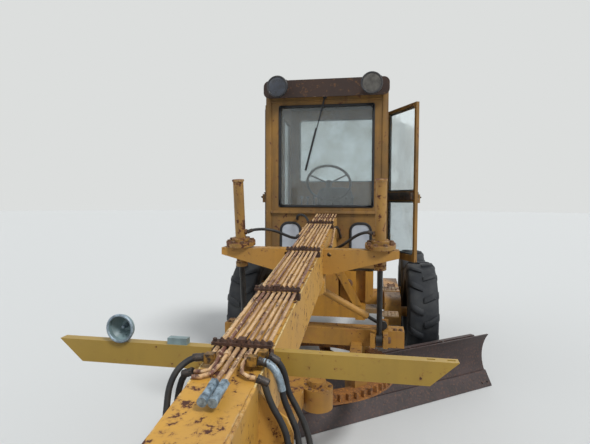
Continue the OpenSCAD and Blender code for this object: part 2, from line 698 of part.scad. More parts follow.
// Moves to a lift cylinder's axis at the crossbeam's top
module lift_line(s) {
    translate([s * lift_x, lift_y, lift_z]) rotate([lift_lean, 0, 0]) children();
}

// Lift barrels: bored tubes with a bolted flange above the crossbeam and a domed cap
barrel_up = 545;
barrel_down = 160;
module lift_barrels() {
    flange_d = 240;
    flange_t = 34;
    tilt_room = 18;
    color("#b3702c") for (s = [-1, 1]) lift_line(s) difference() {
        union() {
            translate([0, 0, -barrel_down]) cylinder(h = barrel_up + barrel_down, d = lift_d, $fn = 48);
            translate([0, 0, tilt_room]) cylinder(h = flange_t, d = flange_d, $fn = 48);
            translate([0, 0, tilt_room + flange_t]) cylinder(h = 26, d = 140, $fn = 48);
            translate([0, 0, barrel_up]) cylinder(h = 14, d = lift_d + 12, $fn = 48);
            // oil port on the inner side
            translate([-s * lift_port_out, 0, lift_port_up]) rotate([0, s * 90, 0])
                cylinder(h = lift_port_out, d = 34, $fn = 24);
            translate([0, 0, -barrel_down]) cylinder(h = 34, d = lift_d + 14, $fn = 48);
        }
        translate([0, 0, -barrel_down - 1]) cylinder(h = barrel_up + barrel_down - 40,
            d = rod_d + 2 * run_gap, $fn = 48);
    }
}

// Lift rod: a bright bar with an eye round the drawbar's pin
pin_below = (lift_z - lift_pin_z) / cos(lift_lean);
lift_pin_y = lift_y + (lift_z - lift_pin_z) * tan(lift_lean);
eye_w = 50;
eye_gap = 7.5;
module lift_rod(s) {
    eye_out = 104;
    color("#6d6a66") difference() {
        union() {
            lift_line(s) translate([0, 0, -pin_below + 40]) cylinder(h = pin_below - barrel_down + 40,
                d = rod_d, $fn = 48);
            round_x(s * lift_x - eye_w / 2, s * lift_x + eye_w / 2, lift_pin_y, lift_pin_z, eye_out);
        }
        round_x(s * lift_x - eye_w, s * lift_x + eye_w, lift_pin_y, lift_pin_z,
            lift_pin_d + 2 * eye_gap);
    }
}

// Side swing cylinder, from the beam's bracket to the ear on the drawbar's crossbar
deck_low = circle_z + circle_t + 58;
deck_high = deck_low + 96;
cross_low = deck_high - 35;
cross_top = cross_low + 140;
swing_top = [66, lift_y + 59, lift_z - 330];
swing_low = [600, lift_y + 190, cross_top + 46];
swing_d = 56;
swing_ball_d = 50;
swing_room = 12;
swing_rod_d = 30;
swing_eye_d = 70;
swing_eye_t = 40;
swing_run = swing_low - swing_top;
swing_len = norm(swing_run);
barrel_share = 0.76;
module swing_line() {
    translate(swing_top) rotate([0, acos(swing_run[2] / swing_len), atan2(swing_run[1], swing_run[0])])
        children();
}
module shift_barrel() {
    shell_d = swing_ball_d + 34;
    color("#c08a30") difference() {
        union() {
            swing_line() translate([0, 0, 30]) cylinder(h = swing_len * barrel_share - 30, d = swing_d,
                $fn = 48);
            translate(swing_top) sphere(d = shell_d, $fn = 48);
        }
        translate(swing_top) sphere(d = swing_ball_d + 2 * socket_gap, $fn = 48);
        // mouth of the socket, wide enough for the stud when the barrel swings
        round_y(swing_top[0], swing_top[1] - shell_d, swing_top[1], swing_top[2], 48);
        swing_line() translate([0, 0, 90]) cylinder(h = swing_len, d = swing_rod_d + 2 * run_gap,
            $fn = 48);
    }
}
module shift_rod() {
    start = swing_len * barrel_share - 50;
    color("#6d6a66") {
        swing_line() translate([0, 0, start]) cylinder(h = swing_len - start, d = swing_rod_d,
            $fn = 48);
        round_y(swing_low[0], swing_low[1] - swing_eye_t / 2, swing_low[1] + swing_eye_t / 2,
            swing_low[2], swing_eye_d);
    }
}

// Drawbar: ball, one box tube, a frame over the circle and the crossbar of the lift pins
shoe_r = circle_d / 2 - tooth_h - circle_band;
shoe_gap = 0.6;
module drawbar() {
    frame_half = 430;
    frame_w = 90;
    frame_front = circle_y - 470;
    frame_back = circle_y + 470;
    tube_half = 90;
    tube_from = ball_y + 110;
    bar_front = lift_pin_y + 68;
    bar_back = bar_front + 170;
    bar_out = 775;
    drum = [170, circle_y - circle_d / 2 - 110];
    lug_t = 40;
    lug_in = eye_w / 2 + 7;
    color("#b8882f") {
        translate([0, ball_y, ball_z]) sphere(d = ball_d, $fn = 48);
        round_y(0, ball_y + 20, tube_from + 20, ball_z, 62);
        side_plate(-tube_half, tube_half)
            polygon([[tube_from, ball_z - 50], [frame_front + 1, deck_low],
                [frame_front + 1, deck_high], [tube_from, ball_z + 60]]);
        for (s = [-1, 1]) {
            block([s > 0 ? frame_half - frame_w : -frame_half, frame_front, deck_low],
                [s > 0 ? frame_half : -frame_half + frame_w, frame_back, deck_high]);
            // lift pin between two lugs on the crossbar's front
            round_x(s * lift_x - lug_in - lug_t, s * lift_x + lug_in + lug_t, lift_pin_y, lift_pin_z,
                lift_pin_d);
            for (x = [s * lift_x - lug_in - lug_t, s * lift_x + lug_in])
                block([x, lift_pin_y - 44, lift_pin_z - 60], [x + lug_t, bar_front + 1, lift_pin_z + 50]);
            // guide shoes that hook under the ring
            for (a = [45, 135]) rotate_about(a * s, circle_y) shoe();
        }
        block([-frame_half, frame_front, deck_low], [frame_half, frame_front + frame_w, deck_high]);
        block([-frame_half, frame_back - frame_w, deck_low], [frame_half, frame_back, deck_high]);
        block([-bar_out, bar_front, cross_low], [bar_out, bar_back, cross_top]);
        // ear beside the eye of the side swing cylinder
        block([swing_low[0] - 45, swing_low[1] + swing_eye_t / 2 + swing_room, cross_top - 1],
            [swing_low[0] + 45, swing_low[1] + swing_eye_t / 2 + swing_room + 20, swing_low[2] + 40]);
        // drum of the circle's turning gear beside the tube, with its cover and shaft end
        translate([drum[0], drum[1], circle_z + 54]) cylinder(h = 139, d = 200, $fn = 48);
        translate([drum[0], drum[1], circle_z + 192]) cylinder(h = 40, d = 110, $fn = 48);
        translate([drum[0], drum[1], circle_z + 14]) cylinder(h = 41, d = 44, $fn = 24);
    }
}
module rotate_about(a, y) { translate([0, y, 0]) rotate([0, 0, a]) children(); }
module shoe() {
    half = 60;
    block([shoe_r - 70, -half, circle_z + circle_t + shoe_gap], [shoe_r + 40, half, deck_low + 1]);
    block([shoe_r - 70, -half, circle_z - 26], [shoe_r - 8, half, circle_z + circle_t + shoe_gap + 1]);
    block([shoe_r - 70, -half, circle_z - 26], [shoe_r + 30, half, circle_z - shoe_gap]);
}

// Moves to the moldboard's own frame: X along it, Y back from the circle's middle
module blade_frame() {
    translate([0, circle_y, 0]) rotate([0, 0, blade_angle]) children();
}

// Circle: toothed ring with the two arms that carry the moldboard
arm_u = 430;
arm_t = 70;
rail_v = blade_back + 98;
rail_s = 50;
rail_top = 490;
rail_bot = 96;
side_v = rail_v + 214;
side_z = 330;
side_d = 80;
arm_v = rail_v + rail_s + 8;
arm_back_v = arm_v + 84;
module blade_circle() {
    root_r = circle_d / 2 - tooth_h;
    step = 360 / circle_teeth;
    grip = 36;
    plate_t = 14;
    // the arms stay outside the guide shoes under the ring
    clear_r = shoe_r + 38;
    top_v = sqrt(pow(root_r, 2) - pow(arm_u, 2));
    color("#7d4a2c") {
        translate([0, circle_y, circle_z]) linear_extrude(circle_t) difference() {
            union() {
                circle(root_r, $fn = 128);
                for (i = [0 : circle_teeth - 1]) rotate(i * step)
                    polygon([[root_r - 4, -18], [circle_d / 2, -9], [circle_d / 2, 9],
                        [root_r - 4, 18]]);
            }
            circle(root_r - circle_band, $fn = 128);
        }
        // plate that closes the teeth from below
        translate([0, circle_y, circle_z]) difference() {
            cylinder(h = plate_t, d = circle_d + 8, $fn = 128);
            translate([0, 0, -1]) cylinder(h = plate_t + 2, d = circle_d - 80, $fn = 128);
        }
        difference() {
            blade_frame() for (s = [-1, 1]) translate([s * arm_u - arm_t / 2, 0, 0])
                rotate([90, 0, 90]) linear_extrude(arm_t) polygon([
                [rail_v - 40, circle_z - 34], [top_v - 120, circle_z - 34],
                [top_v - 100, circle_z + 1], [top_v + 12, circle_z + 1],
                [arm_back_v, circle_z - 190], [arm_back_v, rail_bot - 34],
                [arm_v - grip, rail_bot - 34], [arm_v - grip, rail_bot - 4],
                [arm_v, rail_bot - 4], [arm_v, rail_bot + rail_s + 4],
                [arm_v - grip, rail_bot + rail_s + 4], [arm_v - grip, rail_bot + rail_s + 34],
                [arm_v + 8, rail_bot + rail_s + 60], [arm_v + 8, rail_top - 50],
                [arm_v - grip, rail_top - 34], [arm_v - grip, rail_top - 4],
                [arm_v, rail_top - 4], [arm_v, rail_top + rail_s + 4],
                [arm_v - grip, rail_top + rail_s + 4], [arm_v - grip, rail_top + rail_s + 34]]);
            translate([0, circle_y, circle_z - 34]) {
                cylinder(h = 34, r = clear_r, $fn = 128);
                cylinder(h = 36, r = shoe_r + 4, $fn = 128);
            }
        }
    }
}

// Side shift cylinder: its barrel sits behind the arms and its rod holds the moldboard
side_travel = 1100;
side_rod_d = 44;
lug_u = arm_u + 90 + side_travel;
module side_barrel() {
    color("#8a5a2e") blade_frame() difference() {
        union() {
            round_x(arm_u - side_travel - 120, arm_u + 60, side_v, side_z, side_d);
            for (s = [-1, 1]) block([s * arm_u - 30, arm_back_v + seat_gap, side_z - 50],
                [s * arm_u + 30, side_v, side_z + 50]);
        }
        round_x(arm_u - side_travel - 80, arm_u + 61, side_v, side_z, side_rod_d + 2 * run_gap);
    }
}
module side_rod() {
    color("#6d6a66") blade_frame() round_x(arm_u - 40, lug_u + 40, side_v, side_z, side_rod_d);
}

// Moldboard: a curved plate with slide rails, stiffeners and the side shift lug behind it
edge_h = 150;
face_low = 70;
function face_v(z) = blade_back + sqrt(blade_r * blade_r - pow(z - face_mid, 2)) - face_flat;
face_mid = (edge_gap + face_low + blade_h) / 2;
face_flat = sqrt(blade_r * blade_r - pow(blade_h - face_mid, 2));
// The plate is flat below edge_h, where the cutting edge is bolted, and curved above
module blade_section() {
    steps = 9;
    zs = concat([face_low], [for (i = [0 : steps]) edge_h + (blade_h - edge_h) * i / steps]);
    front = [for (z = zs) [face_v(z), z]];
    rear = [for (i = [len(zs) - 1 : -1 : 0]) [face_v(zs[i]) + blade_t, zs[i]]];
    polygon(concat(front, rear));
}
module along_blade(u0, u1) {
    translate([u0, 0, 0]) rotate([90, 0, 90]) linear_extrude(u1 - u0) children();
}
module moldboard() {
    u0 = blade_mid - blade_l / 2;
    u1 = blade_mid + blade_l / 2;
    web_t = 16;
    color("#4a3a38") blade_frame() difference() {
        union() {
            along_blade(u0, u1) blade_section();
            for (z = [rail_bot, rail_top]) block([u0 + 110, rail_v, z], [u1 - 110, rail_v + rail_s,
                z + rail_s]);
            // webs that join the rails to the plate
            for (i = [0 : 6], z = [rail_bot, rail_top])
                translate([u0 + 130 + i * (blade_l - 276) / 6, 0, 0]) rotate([90, 0, 90])
                    linear_extrude(web_t) polygon([[face_v(z) + blade_t - 6, z],
                        [rail_v + 1, z], [rail_v + 1, z + rail_s],
                        [face_v(z + rail_s) + blade_t - 6, z + rail_s]]);
            // lug of the side shift rod
            along_blade(lug_u - 14, lug_u + 14) polygon([[face_v(side_z) + blade_t - 6, side_z - 130],
                [side_v + 50, side_z - 46], [side_v + 50, side_z + 46],
                [face_v(side_z) + blade_t - 6, side_z + 130]]);
        }
        round_x(lug_u - 20, lug_u + 20, side_v, side_z, side_rod_d + 2 * seat_gap);
    }
}

// Cutting edge: flat steel under the moldboard's face, with bolt holes at its two ends
module cutting_edge() {
    u0 = blade_mid - blade_l / 2;
    u1 = blade_mid + blade_l / 2;
    t = 19;
    hole_d = 18;
    // the edge's back lies along the flat part of the moldboard
    slope = (face_v(edge_h) - face_v(face_low)) / (edge_h - face_low);
    back_low = face_v(face_low) - seat_gap - slope * (face_low - edge_gap);
    back_high = face_v(edge_h) - seat_gap;
    color("#57504c") blade_frame() difference() {
        along_blade(u0, u1) polygon([[back_low - t, edge_gap], [back_low, edge_gap],
            [back_high, edge_h], [back_high - t, edge_h]]);
        for (u = [u0 + 50, u0 + 130, u1 - 130, u1 - 50]) round_y(u, 0, back_high, 44, hole_d);
    }
}

// Cab front: one wall with the windscreen, two arched windows and the posts
arch_in = 262;
arch_out = 490;
arch_low = 1566;
arch_high = 1784;
module arch_window(s, grow = 0) {
    x0 = arch_in - grow;
    x1 = arch_out + grow;
    r = (x1 - x0) / 2;
    translate([s * (x0 + x1) / 2, 0]) {
        translate([-r, arch_low - grow]) square([2 * r, arch_high + grow - arch_low + grow - r]);
        translate([0, arch_high + grow - r]) circle(r, $fn = 48);
    }
}
module cab_front() {
    color("#94702b") front_plate(cab_y, cab_y + wall_t) difference() {
        translate([-cab_half, floor_z]) square([2 * cab_half, wall_z - floor_z]);
        round_rect([-screen_half, screen_low], [screen_half, screen_high], 55);
        for (s = [-1, 1]) arch_window(s);
    }
}

// Cab sides: a wall with the door's opening and a window behind it, on each side
door_y = cab_y + wall_t + 30;
door_low = floor_z + 60;
door_high = 3070;
door_lap = 22;
side_win = [door_y + door_w + 70, cab_back_y - wall_t - 60];
module cab_sides() {
    color("#94702b") for (s = [-1, 1]) {
        // lugs and pins that the door's hinge barrels turn on
        for (z = hinge_zs) scale_x(s) {
            for (low = [z - seat_gap - 12, z + hinge_h + seat_gap]) {
                block([cab_half - 1, hinge_y + 1, low], [cab_half + hinge_out, hinge_y + 11, low + 12]);
                translate([cab_half + hinge_out, hinge_y, low]) cylinder(h = 12, r = hinge_r, $fn = 32);
            }
            translate([cab_half + hinge_out, hinge_y, z - 6]) cylinder(h = hinge_h + 12,
                d = hinge_pin_d, $fn = 32);
        }
        side_plate(s > 0 ? cab_half - wall_t : -cab_half, s > 0 ? cab_half : -cab_half + wall_t)
            difference() {
                translate([cab_y + wall_t, floor_z])
                    square([cab_l - 2 * wall_t, wall_z - floor_z]);
                translate([door_y + door_lap, door_low + door_lap])
                    square([door_w - 2 * door_lap, door_high - door_low - 2 * door_lap]);
                round_rect([side_win[0], screen_low], [side_win[1], screen_high], 50);
            }
    }
}

// Cab rear wall with one wide window
rear_low = 2280;
rear_high = 3110;
module cab_rear() {
    color("#94702b") front_plate(cab_back_y - wall_t, cab_back_y) difference() {
        translate([-cab_half, floor_z]) square([2 * cab_half, wall_z - floor_z]);
        round_rect([-screen_half, rear_low], [screen_half, rear_high], 55);
    }
}

// Cab roof: a shallow pan over the walls
module cab_roof() {
    over = 14;
    color("#8a6a2a") difference() {
        hull() {
            block([-cab_half - over, cab_y - over, wall_z], [cab_half + over, cab_back_y + over,
                wall_z + 26]);
            block([-cab_half + 60, cab_y + 60, wall_z], [cab_half - 60, cab_back_y - 60,
                wall_z + 46]);
        }
        block([-cab_half + wall_t, cab_y + wall_t, wall_z - 1], [cab_half - wall_t,
            cab_back_y - wall_t, wall_z + 18]);
    }
}

// Visor: a bent plate across the front above the windscreen
visor_half = 652;
visor_low = 3110;
visor_high = 3290;
module cab_visor() {
    reach = 70;
    t = 14;
    color("#3a2218") {
        front_plate(cab_y - t - reach, cab_y - reach)
            round_rect([-visor_half, visor_low], [visor_half, visor_high], 60);
        for (s = [-1, 1]) block([s > 0 ? 560 : -600, cab_y - reach, visor_low + 40],
            [s > 0 ? 600 : -560, cab_y - seat_gap, visor_high - 80]);
    }
}

// Cab floor with the raised centre over the drive
module cab_floor() {
    color("#4d463b") {
        block([-cab_half + wall_t, cab_y + wall_t, floor_z - 30],
            [cab_half - wall_t, cab_back_y - wall_t, floor_z]);
    }
}

// Glass of the windscreen, the arched windows, the side and the rear windows
module cab_glass() {
    lap = 0.3;
    mid = (wall_t - glass_t) / 2;
    color([0.62, 0.68, 0.7, 0.4]) {
        front_plate(cab_y + mid, cab_y + mid + glass_t) {
            round_rect([-screen_half + lap, screen_low + lap], [screen_half - lap, screen_high - lap],
                55 - lap);
            for (s = [-1, 1]) arch_window(s, -lap);
        }
        for (s = [-1, 1]) side_plate(s > 0 ? cab_half - mid - glass_t : -cab_half + mid,
            s > 0 ? cab_half - mid : -cab_half + mid + glass_t)
            round_rect([side_win[0] + lap, screen_low + lap], [side_win[1] - lap, screen_high - lap],
                50 - lap);
        front_plate(cab_back_y - mid - glass_t, cab_back_y - mid)
            round_rect([-screen_half + lap, rear_low + lap], [screen_half - lap, rear_high - lap],
                55 - lap);
    }
}

// Doors: a frame with two panes, a dark crossbar with the latch, hinged at the rear
door_t = 34;
door_frame = 36;
door_sill = 70;
bar_low_z = 2044;
bar_high_z = 2130;
hinge_gap = 8;
hinge_y = door_y + door_w;
door_seal = 0.6;
door_x = cab_half + door_seal;
hinge_r = 10;
hinge_pin_d = 10;
hinge_h = 90;
hinge_out = door_t + door_seal + hinge_r + 1;
hinge_zs = [door_low + 180, door_high - 220];
module door_leaf() {
    difference() {
        translate([0, door_low]) square([door_w, door_high - door_low]);
        round_rect([door_frame, bar_high_z + 12], [door_w - door_frame, door_high - door_frame], 30);
        round_rect([door_frame, door_low + door_sill], [door_w - door_frame, bar_low_z - 12], 30);
    }
}
module door_panes() {
    lap = 0.3;
    round_rect([door_frame + lap, bar_high_z + 12 + lap],
        [door_w - door_frame - lap, door_high - door_frame - lap], 30);
    round_rect([door_frame + lap, door_low + door_sill + lap],
        [door_w - door_frame - lap, bar_low_z - 12 - lap], 30);
}
// Turns a door about its hinge; the flat shape is drawn from the door's front edge back
module door_place(s, open) {
    translate([s * (cab_half + hinge_out), hinge_y, 0]) rotate([0, 0, s * open])
        translate([-s * (cab_half + hinge_out), -hinge_y, 0]) children();
}
module door(s, open) {
    x1 = door_x + door_t;
    color("#a8792b") door_place(s, open) scale_x(s) {
        side_plate(door_x, x1) translate([door_y, 0]) door_leaf();
        for (z = hinge_zs) difference() {
            union() {
                translate([cab_half + hinge_out, hinge_y, z]) cylinder(h = hinge_h, r = hinge_r,
                    $fn = 32);
                block([x1 - 1, hinge_y - 60, z + 8], [x1 + 7, hinge_y, z + hinge_h - 8]);
            }
            translate([cab_half + hinge_out, hinge_y, z - 1]) cylinder(h = hinge_h + 2,
                d = hinge_pin_d + 2 * seat_gap, $fn = 32);
        }
        // latch and handle on the crossbar
        block([x1 - 1, door_y + 12, bar_low_z - 30], [x1 + 34, door_y + 52, bar_low_z + 62]);
    }
}
module door_glass(s, open) {
    x0 = door_x + (door_t - glass_t) / 2;
    color([0.62, 0.68, 0.7, 0.4]) door_place(s, open) scale_x(s)
        side_plate(x0, x0 + glass_t) translate([door_y, 0]) door_panes();
}

lamp_out = 475;
// Round lamps on short brackets above the visor's ends
module roof_lamps() {
    r = 106;
    depth = 100;
    z = 3195;
    y = cab_y - 230;
    color("#2b2e33") for (s = [-1, 1]) {
        translate([s * lamp_out, y, z]) rotate([-90, 0, 0]) rotate_extrude($fn = 48)
            polygon([[0, 6], [r - 10, 0], [r, 4], [r, 26], [r - 12, 34], [r * 0.55, depth],
                [0, depth]]);
        block([s * lamp_out - 18, y + depth - 30, z - 14],
            [s * lamp_out + 18, cab_y - 84 - seat_gap, z + 14]);
    }
}

// Seat: cushion and back on a pedestal
seat_y = cab_y + 820;
module seat() {
    color("#22242a") {
        block([-150, seat_y - 130, floor_z], [150, seat_y + 150, floor_z + 330]);
        hull() for (x = [-205, 205], y = [seat_y - 200, seat_y + 190])
            translate([x, y, floor_z + 330]) cylinder(h = 110, r = 50, $fn = 24);
        translate([0, seat_y + 200, floor_z + 470]) rotate([-10, 0, 0])
            hull() for (x = [-180, 180], z = [20, 380]) translate([x, 0, z]) rotate([-90, 0, 0])
                cylinder(h = 90, r = 50, $fn = 24);
    }
}

// Console: steering column and the row of control levers before the driver
wheel_mid = [0, cab_y + 350, 2230];
wheel_lean = -50;
module console() {
    knob_d = 34;
    color("#3b3d42") {
        block([-130, cab_y + wall_t + 8, floor_z], [130, cab_y + 210, floor_z + 470]);
        translate(wheel_mid) rotate([wheel_lean, 0, 0]) translate([0, 0, -330])
            cylinder(h = 330 - 26 - seat_gap, d = 70, $fn = 32);
        block([-50, cab_y + 80, floor_z + 460], [50, cab_y + 150, wheel_mid[2] - 200]);
        for (i = [-4 : 4]) if (i != 0) translate([i * 70, cab_y + 150, floor_z + 400]) {
            cylinder(h = 330, d = 14, $fn = 16);
            translate([0, 0, 330 + knob_d / 2 - 4]) sphere(d = knob_d, $fn = 24);
        }
        block([-310, cab_y + 110, floor_z + 380], [310, cab_y + 190, floor_z + 420]);
    }
}

// Steering wheel: rim, three spokes and a hub
module steering_wheel() {
    rim_r = 258;
    grip = 28;
    color("#1f2126") translate(wheel_mid) rotate([wheel_lean, 0, 0]) {
        rotate_extrude($fn = 64) translate([rim_r - grip / 2, 0]) circle(d = grip, $fn = 24);
        translate([0, 0, -26]) cylinder(h = 44, d = 74, $fn = 32);
        for (a = [90, 210, 330]) rotate([0, 0, a]) rotate([0, 90, 0])
            cylinder(h = rim_r - grip / 2, d = 18, $fn = 16);
    }
}

// Front tank: a long tank with a rounded belly below the cab's front
module front_tank() {
    half = 510;
    low = 965;
    r = 90;
    y0 = cab_y + 8;
    color("#7a5a2c") for (s = [-1, 1]) difference() {
        front_plate(y0, y0 + 380) difference() {
            union() {
                translate([s > 0 ? 158 : -half, low + r]) square([half - 158, floor_z - 34 - low - r]);
                translate([s > 0 ? 158 : -half + r, low]) square([half - 158 - r, r + 1]);
                translate([s * (half - r), low + r]) circle(r, $fn = 48);
            }
        }
        // room for the rail and the cab's leg
        scale_x(s) block([rail_x - seat_gap, y0 - 1, rail_low],
            [rail_x + rail_w + seat_gap, y0 + 381, floor_z]);
    }
}

// Steps: a box with plate treads on each side, up to the doors
module steps() {
    x1 = 790;
    y0 = cab_y + 200;
    y1 = cab_y + 430;
    color("#6b5129") for (s = [-1, 1]) {
        scale_x(s) {
            block([rail_x + rail_w, y0, 800], [x1 - 190, y1, 850]);
            block([x1 - 200, y0, 480], [x1 - 188, y1, 1060]);
            for (z = [480, 770, 1048]) difference() {
                block([x1 - 200, y0, z], [x1, y1, z + 12]);
                for (i = [0 : 4], j = [0 : 3])
                    translate([x1 - 160 + j * 40, y0 + 34 + i * 40, z - 1])
                        cylinder(h = 14, d = 20, $fn = 16);
            }
        }
    }
}

// Engine: one plain block at its place between the rails
module engine_block() {
    color("#4b4e52") block([-230, cab_back_y + 200, rail_high - 130],
        [230, cab_back_y + 1220, 1640]);
}

// Hood: side and top sheets over the engine, open at its rear for the grille
hood_half = 430;
hood_front = cab_back_y + 30;
hood_back = tail_y - 130;
hood_top = 1990;
module hood() {
    sheet = 24;
    louvres = 14;
    color("#c08c2e") difference() {
        front_plate(hood_front, hood_back) difference() {
            hull() {
                translate([-hood_half, rail_high]) square([2 * hood_half, 200]);
                translate([-hood_half + 70, hood_top - 70]) circle(70, $fn = 32);
                translate([hood_half - 70, hood_top - 70]) circle(70, $fn = 32);
            }
            hull() {
                translate([-hood_half + sheet, rail_high - 1]) square([2 * (hood_half - sheet), 200]);
                translate([-hood_half + 70, hood_top - 70]) circle(70 - sheet, $fn = 32);
                translate([hood_half - 70, hood_top - 70]) circle(70 - sheet, $fn = 32);
            }
        }
        for (s = [-1, 1], i = [0 : louvres - 1])
            block([s > 0 ? hood_half - sheet - 1 : -hood_half - 1, hood_front + 260 + i * 84, 1250],
                [s > 0 ? hood_half + 1 : -hood_half + sheet + 1, hood_front + 284 + i * 84, 1720]);
    }
}

// Grille: a frame with upright bars at the rear of the hood, radiator behind it
module grille() {
    bars = 13;
    w = 2 * (hood_half - 24 - seat_gap);
    color("#5a4a2a") {
        front_plate(hood_back - 70, hood_back - 30) difference() {
            translate([-w / 2, rail_high + 10]) square([w, hood_top - rail_high - 120]);
            for (i = [0 : bars - 1]) translate([-w / 2 + 44 + i * (w - 80) / bars, rail_high + 60])
                square([(w - 80) / bars - 20, hood_top - rail_high - 220]);
        }
    }
    color("#26282b") block([-w / 2 + 20, hood_back - 190, rail_high + seat_gap],
        [w / 2 - 20, hood_back - 80, hood_top - 80]);
}

// Exhaust stack and air cleaner on top of the hood
module exhaust() {
    color("#4a3b33") {
        translate([190, 5700, hood_top]) {
            cylinder(h = 210, d = 130, $fn = 48);
            translate([0, 0, 209]) cylinder(h = 70, d = 64, $fn = 48);
        }
        translate([-190, 5950, hood_top]) {
            cylinder(h = 180, d = 90, $fn = 48);
            translate([0, 0, 179]) cylinder(h = 90, d = 220, $fn = 48);
        }
    }
}

placed() main_beam();
placed() rear_frame();
placed() rear_axle();
placed() front_axle();
placed() knuckle(1);  // knuckle_left
placed() knuckle(-1);  // knuckle_right
placed() tie_rod();
placed() tyre_at(track / 2, 0);  // tyre_front_left
placed() tyre_at(-track / 2, 0);  // tyre_front_right
placed() tyre_at(track / 2, mid_y);  // tyre_mid_left
placed() tyre_at(-track / 2, mid_y);  // tyre_mid_right
placed() tyre_at(track / 2, rear_y);  // tyre_rear_left
placed() tyre_at(-track / 2, rear_y);  // tyre_rear_right
placed() rim_at(track / 2, 0, 1);  // rim_front_left
placed() rim_at(-track / 2, 0, -1);  // rim_front_right
placed() rim_at(track / 2, mid_y, 1);  // rim_mid_left
placed() rim_at(-track / 2, mid_y, -1);  // rim_mid_right
placed() rim_at(track / 2, rear_y, 1);  // rim_rear_left
placed() rim_at(-track / 2, rear_y, -1);  // rim_rear_right
placed() tandem_cases();
placed() lamp_bar();
placed() bar_lamp();
placed() beam_pipes();
placed() pipe_unions();
placed() pipe_clamps();
placed() hoses();
placed() lift_crossbeam();
placed() lift_barrels();
placed() lift_rod(1);  // lift_rod_left
placed() lift_rod(-1);  // lift_rod_right
placed() shift_barrel();
placed() shift_rod();
placed() drawbar();
placed() blade_circle();
placed() side_barrel();
placed() side_rod();
placed() moldboard();
placed() cutting_edge();
placed() cab_front();
placed() cab_sides();
placed() cab_rear();
placed() cab_roof();
placed() cab_visor();
placed() cab_floor();
placed() cab_glass();
placed() door(1, door_open);  // door_left
placed() door(-1, 0);  // door_right
placed() door_glass(1, door_open);  // door_glass_left
placed() door_glass(-1, 0);  // door_glass_right
placed() roof_lamps();
placed() seat();
placed() console();
placed() steering_wheel();
placed() front_tank();
placed() steps();
placed() engine_block();
placed() hood();
placed() grille();
placed() exhaust();
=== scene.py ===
from math import atan, cos, pi, radians, sin

import bmesh
import bpy
from mathutils import Matrix, Vector


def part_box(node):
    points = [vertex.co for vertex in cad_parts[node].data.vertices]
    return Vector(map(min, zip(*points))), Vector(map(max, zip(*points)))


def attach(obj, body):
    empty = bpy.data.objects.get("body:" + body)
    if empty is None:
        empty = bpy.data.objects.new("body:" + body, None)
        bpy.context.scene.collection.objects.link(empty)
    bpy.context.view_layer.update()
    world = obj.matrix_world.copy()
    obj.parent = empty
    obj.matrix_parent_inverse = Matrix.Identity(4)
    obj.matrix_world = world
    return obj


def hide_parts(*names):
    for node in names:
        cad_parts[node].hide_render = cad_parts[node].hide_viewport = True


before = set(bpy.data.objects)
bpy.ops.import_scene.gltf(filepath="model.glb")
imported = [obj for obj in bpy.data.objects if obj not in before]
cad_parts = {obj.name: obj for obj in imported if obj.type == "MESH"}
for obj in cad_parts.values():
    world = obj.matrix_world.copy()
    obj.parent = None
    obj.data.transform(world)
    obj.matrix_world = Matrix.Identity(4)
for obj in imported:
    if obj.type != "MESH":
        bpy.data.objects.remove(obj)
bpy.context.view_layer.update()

# Camera: it is held a step before the nose, two metres up and a little to the machine's left,
# and looks back along the beam at the cab. The picture is 590 by 444 and isn't shifted.
axle_low, axle_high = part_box("front_axle")
MIDDLE_X = (axle_low[0] + axle_high[0]) / 2
AXLE_Y = (axle_low[1] + axle_high[1]) / 2
EYE = (0.535, -0.950, 2.044)
YAW, PITCH, ROLL = radians(10.148), radians(2.80), radians(0.21)
SENSOR_MM, FOCUS_PIXELS, FRAME_PIXELS = 36, 454.9, 590
NEAR_CLIP, FAR_CLIP = 0.05, 200


def at(x, y, z):
    """A point measured from the middle plane, the front axle and the ground."""
    return Vector((MIDDLE_X + x, AXLE_Y + y, z))


lens = bpy.data.cameras.new("camera")
lens.sensor_width = SENSOR_MM
lens.lens = FOCUS_PIXELS / FRAME_PIXELS * SENSOR_MM
lens.clip_start, lens.clip_end = NEAR_CLIP, FAR_CLIP
camera = bpy.data.objects.new("camera", lens)
camera.matrix_world = (Matrix.Translation(at(*EYE)) @ Matrix.Rotation(YAW, 4, "Z")
                       @ Matrix.Rotation(pi / 2 - PITCH, 4, "X") @ Matrix.Rotation(ROLL, 4, "Z"))
bpy.context.scene.collection.objects.link(camera)
bpy.context.scene.camera = camera
bpy.context.scene.view_settings.view_transform = "Standard"


# Hydraulic hoses: nitrile tube with wire braid under a black rubber cover, crimped to steel
# ends. Five leave the front of the oil pipes and drop round the nose, one runs from each lift
# cylinder to the pipes beside the beam, and two run from the beam into the cab.
def linear(code):
    """An sRGB hex colour as linear red, green, blue and alpha."""
    parts = [int(code[i:i + 2], 16) / 255 for i in (1, 3, 5)]
    return [c / 12.92 if c <= 0.04045 else ((c + 0.055) / 1.055) ** 2.4 for c in parts] + [1]


def add(tree, kind, inputs=None, **settings):
    """Adds a shader node with its settings, and links or sets its inputs."""
    made = tree.nodes.new("ShaderNode" + kind)
    for key, value in settings.items():
        setattr(made, key, value)
    for key, value in (inputs or {}).items():
        if isinstance(value, bpy.types.NodeSocket):
            tree.links.new(value, made.inputs[key])
        else:
            made.inputs[key].default_value = value
    return made


def finish_of(name):
    """A new material's tree with its Object coordinates and its Principled shader."""
    made = bpy.data.materials.new(name)
    made.use_nodes = True
    tree = made.node_tree
    tree.nodes.clear()
    shader = add(tree, "BsdfPrincipled")
    out = add(tree, "OutputMaterial", {"Surface": shader.outputs[0]})
    out.is_active_output = True
    return made, tree, add(tree, "TexCoord").outputs["Object"], shader


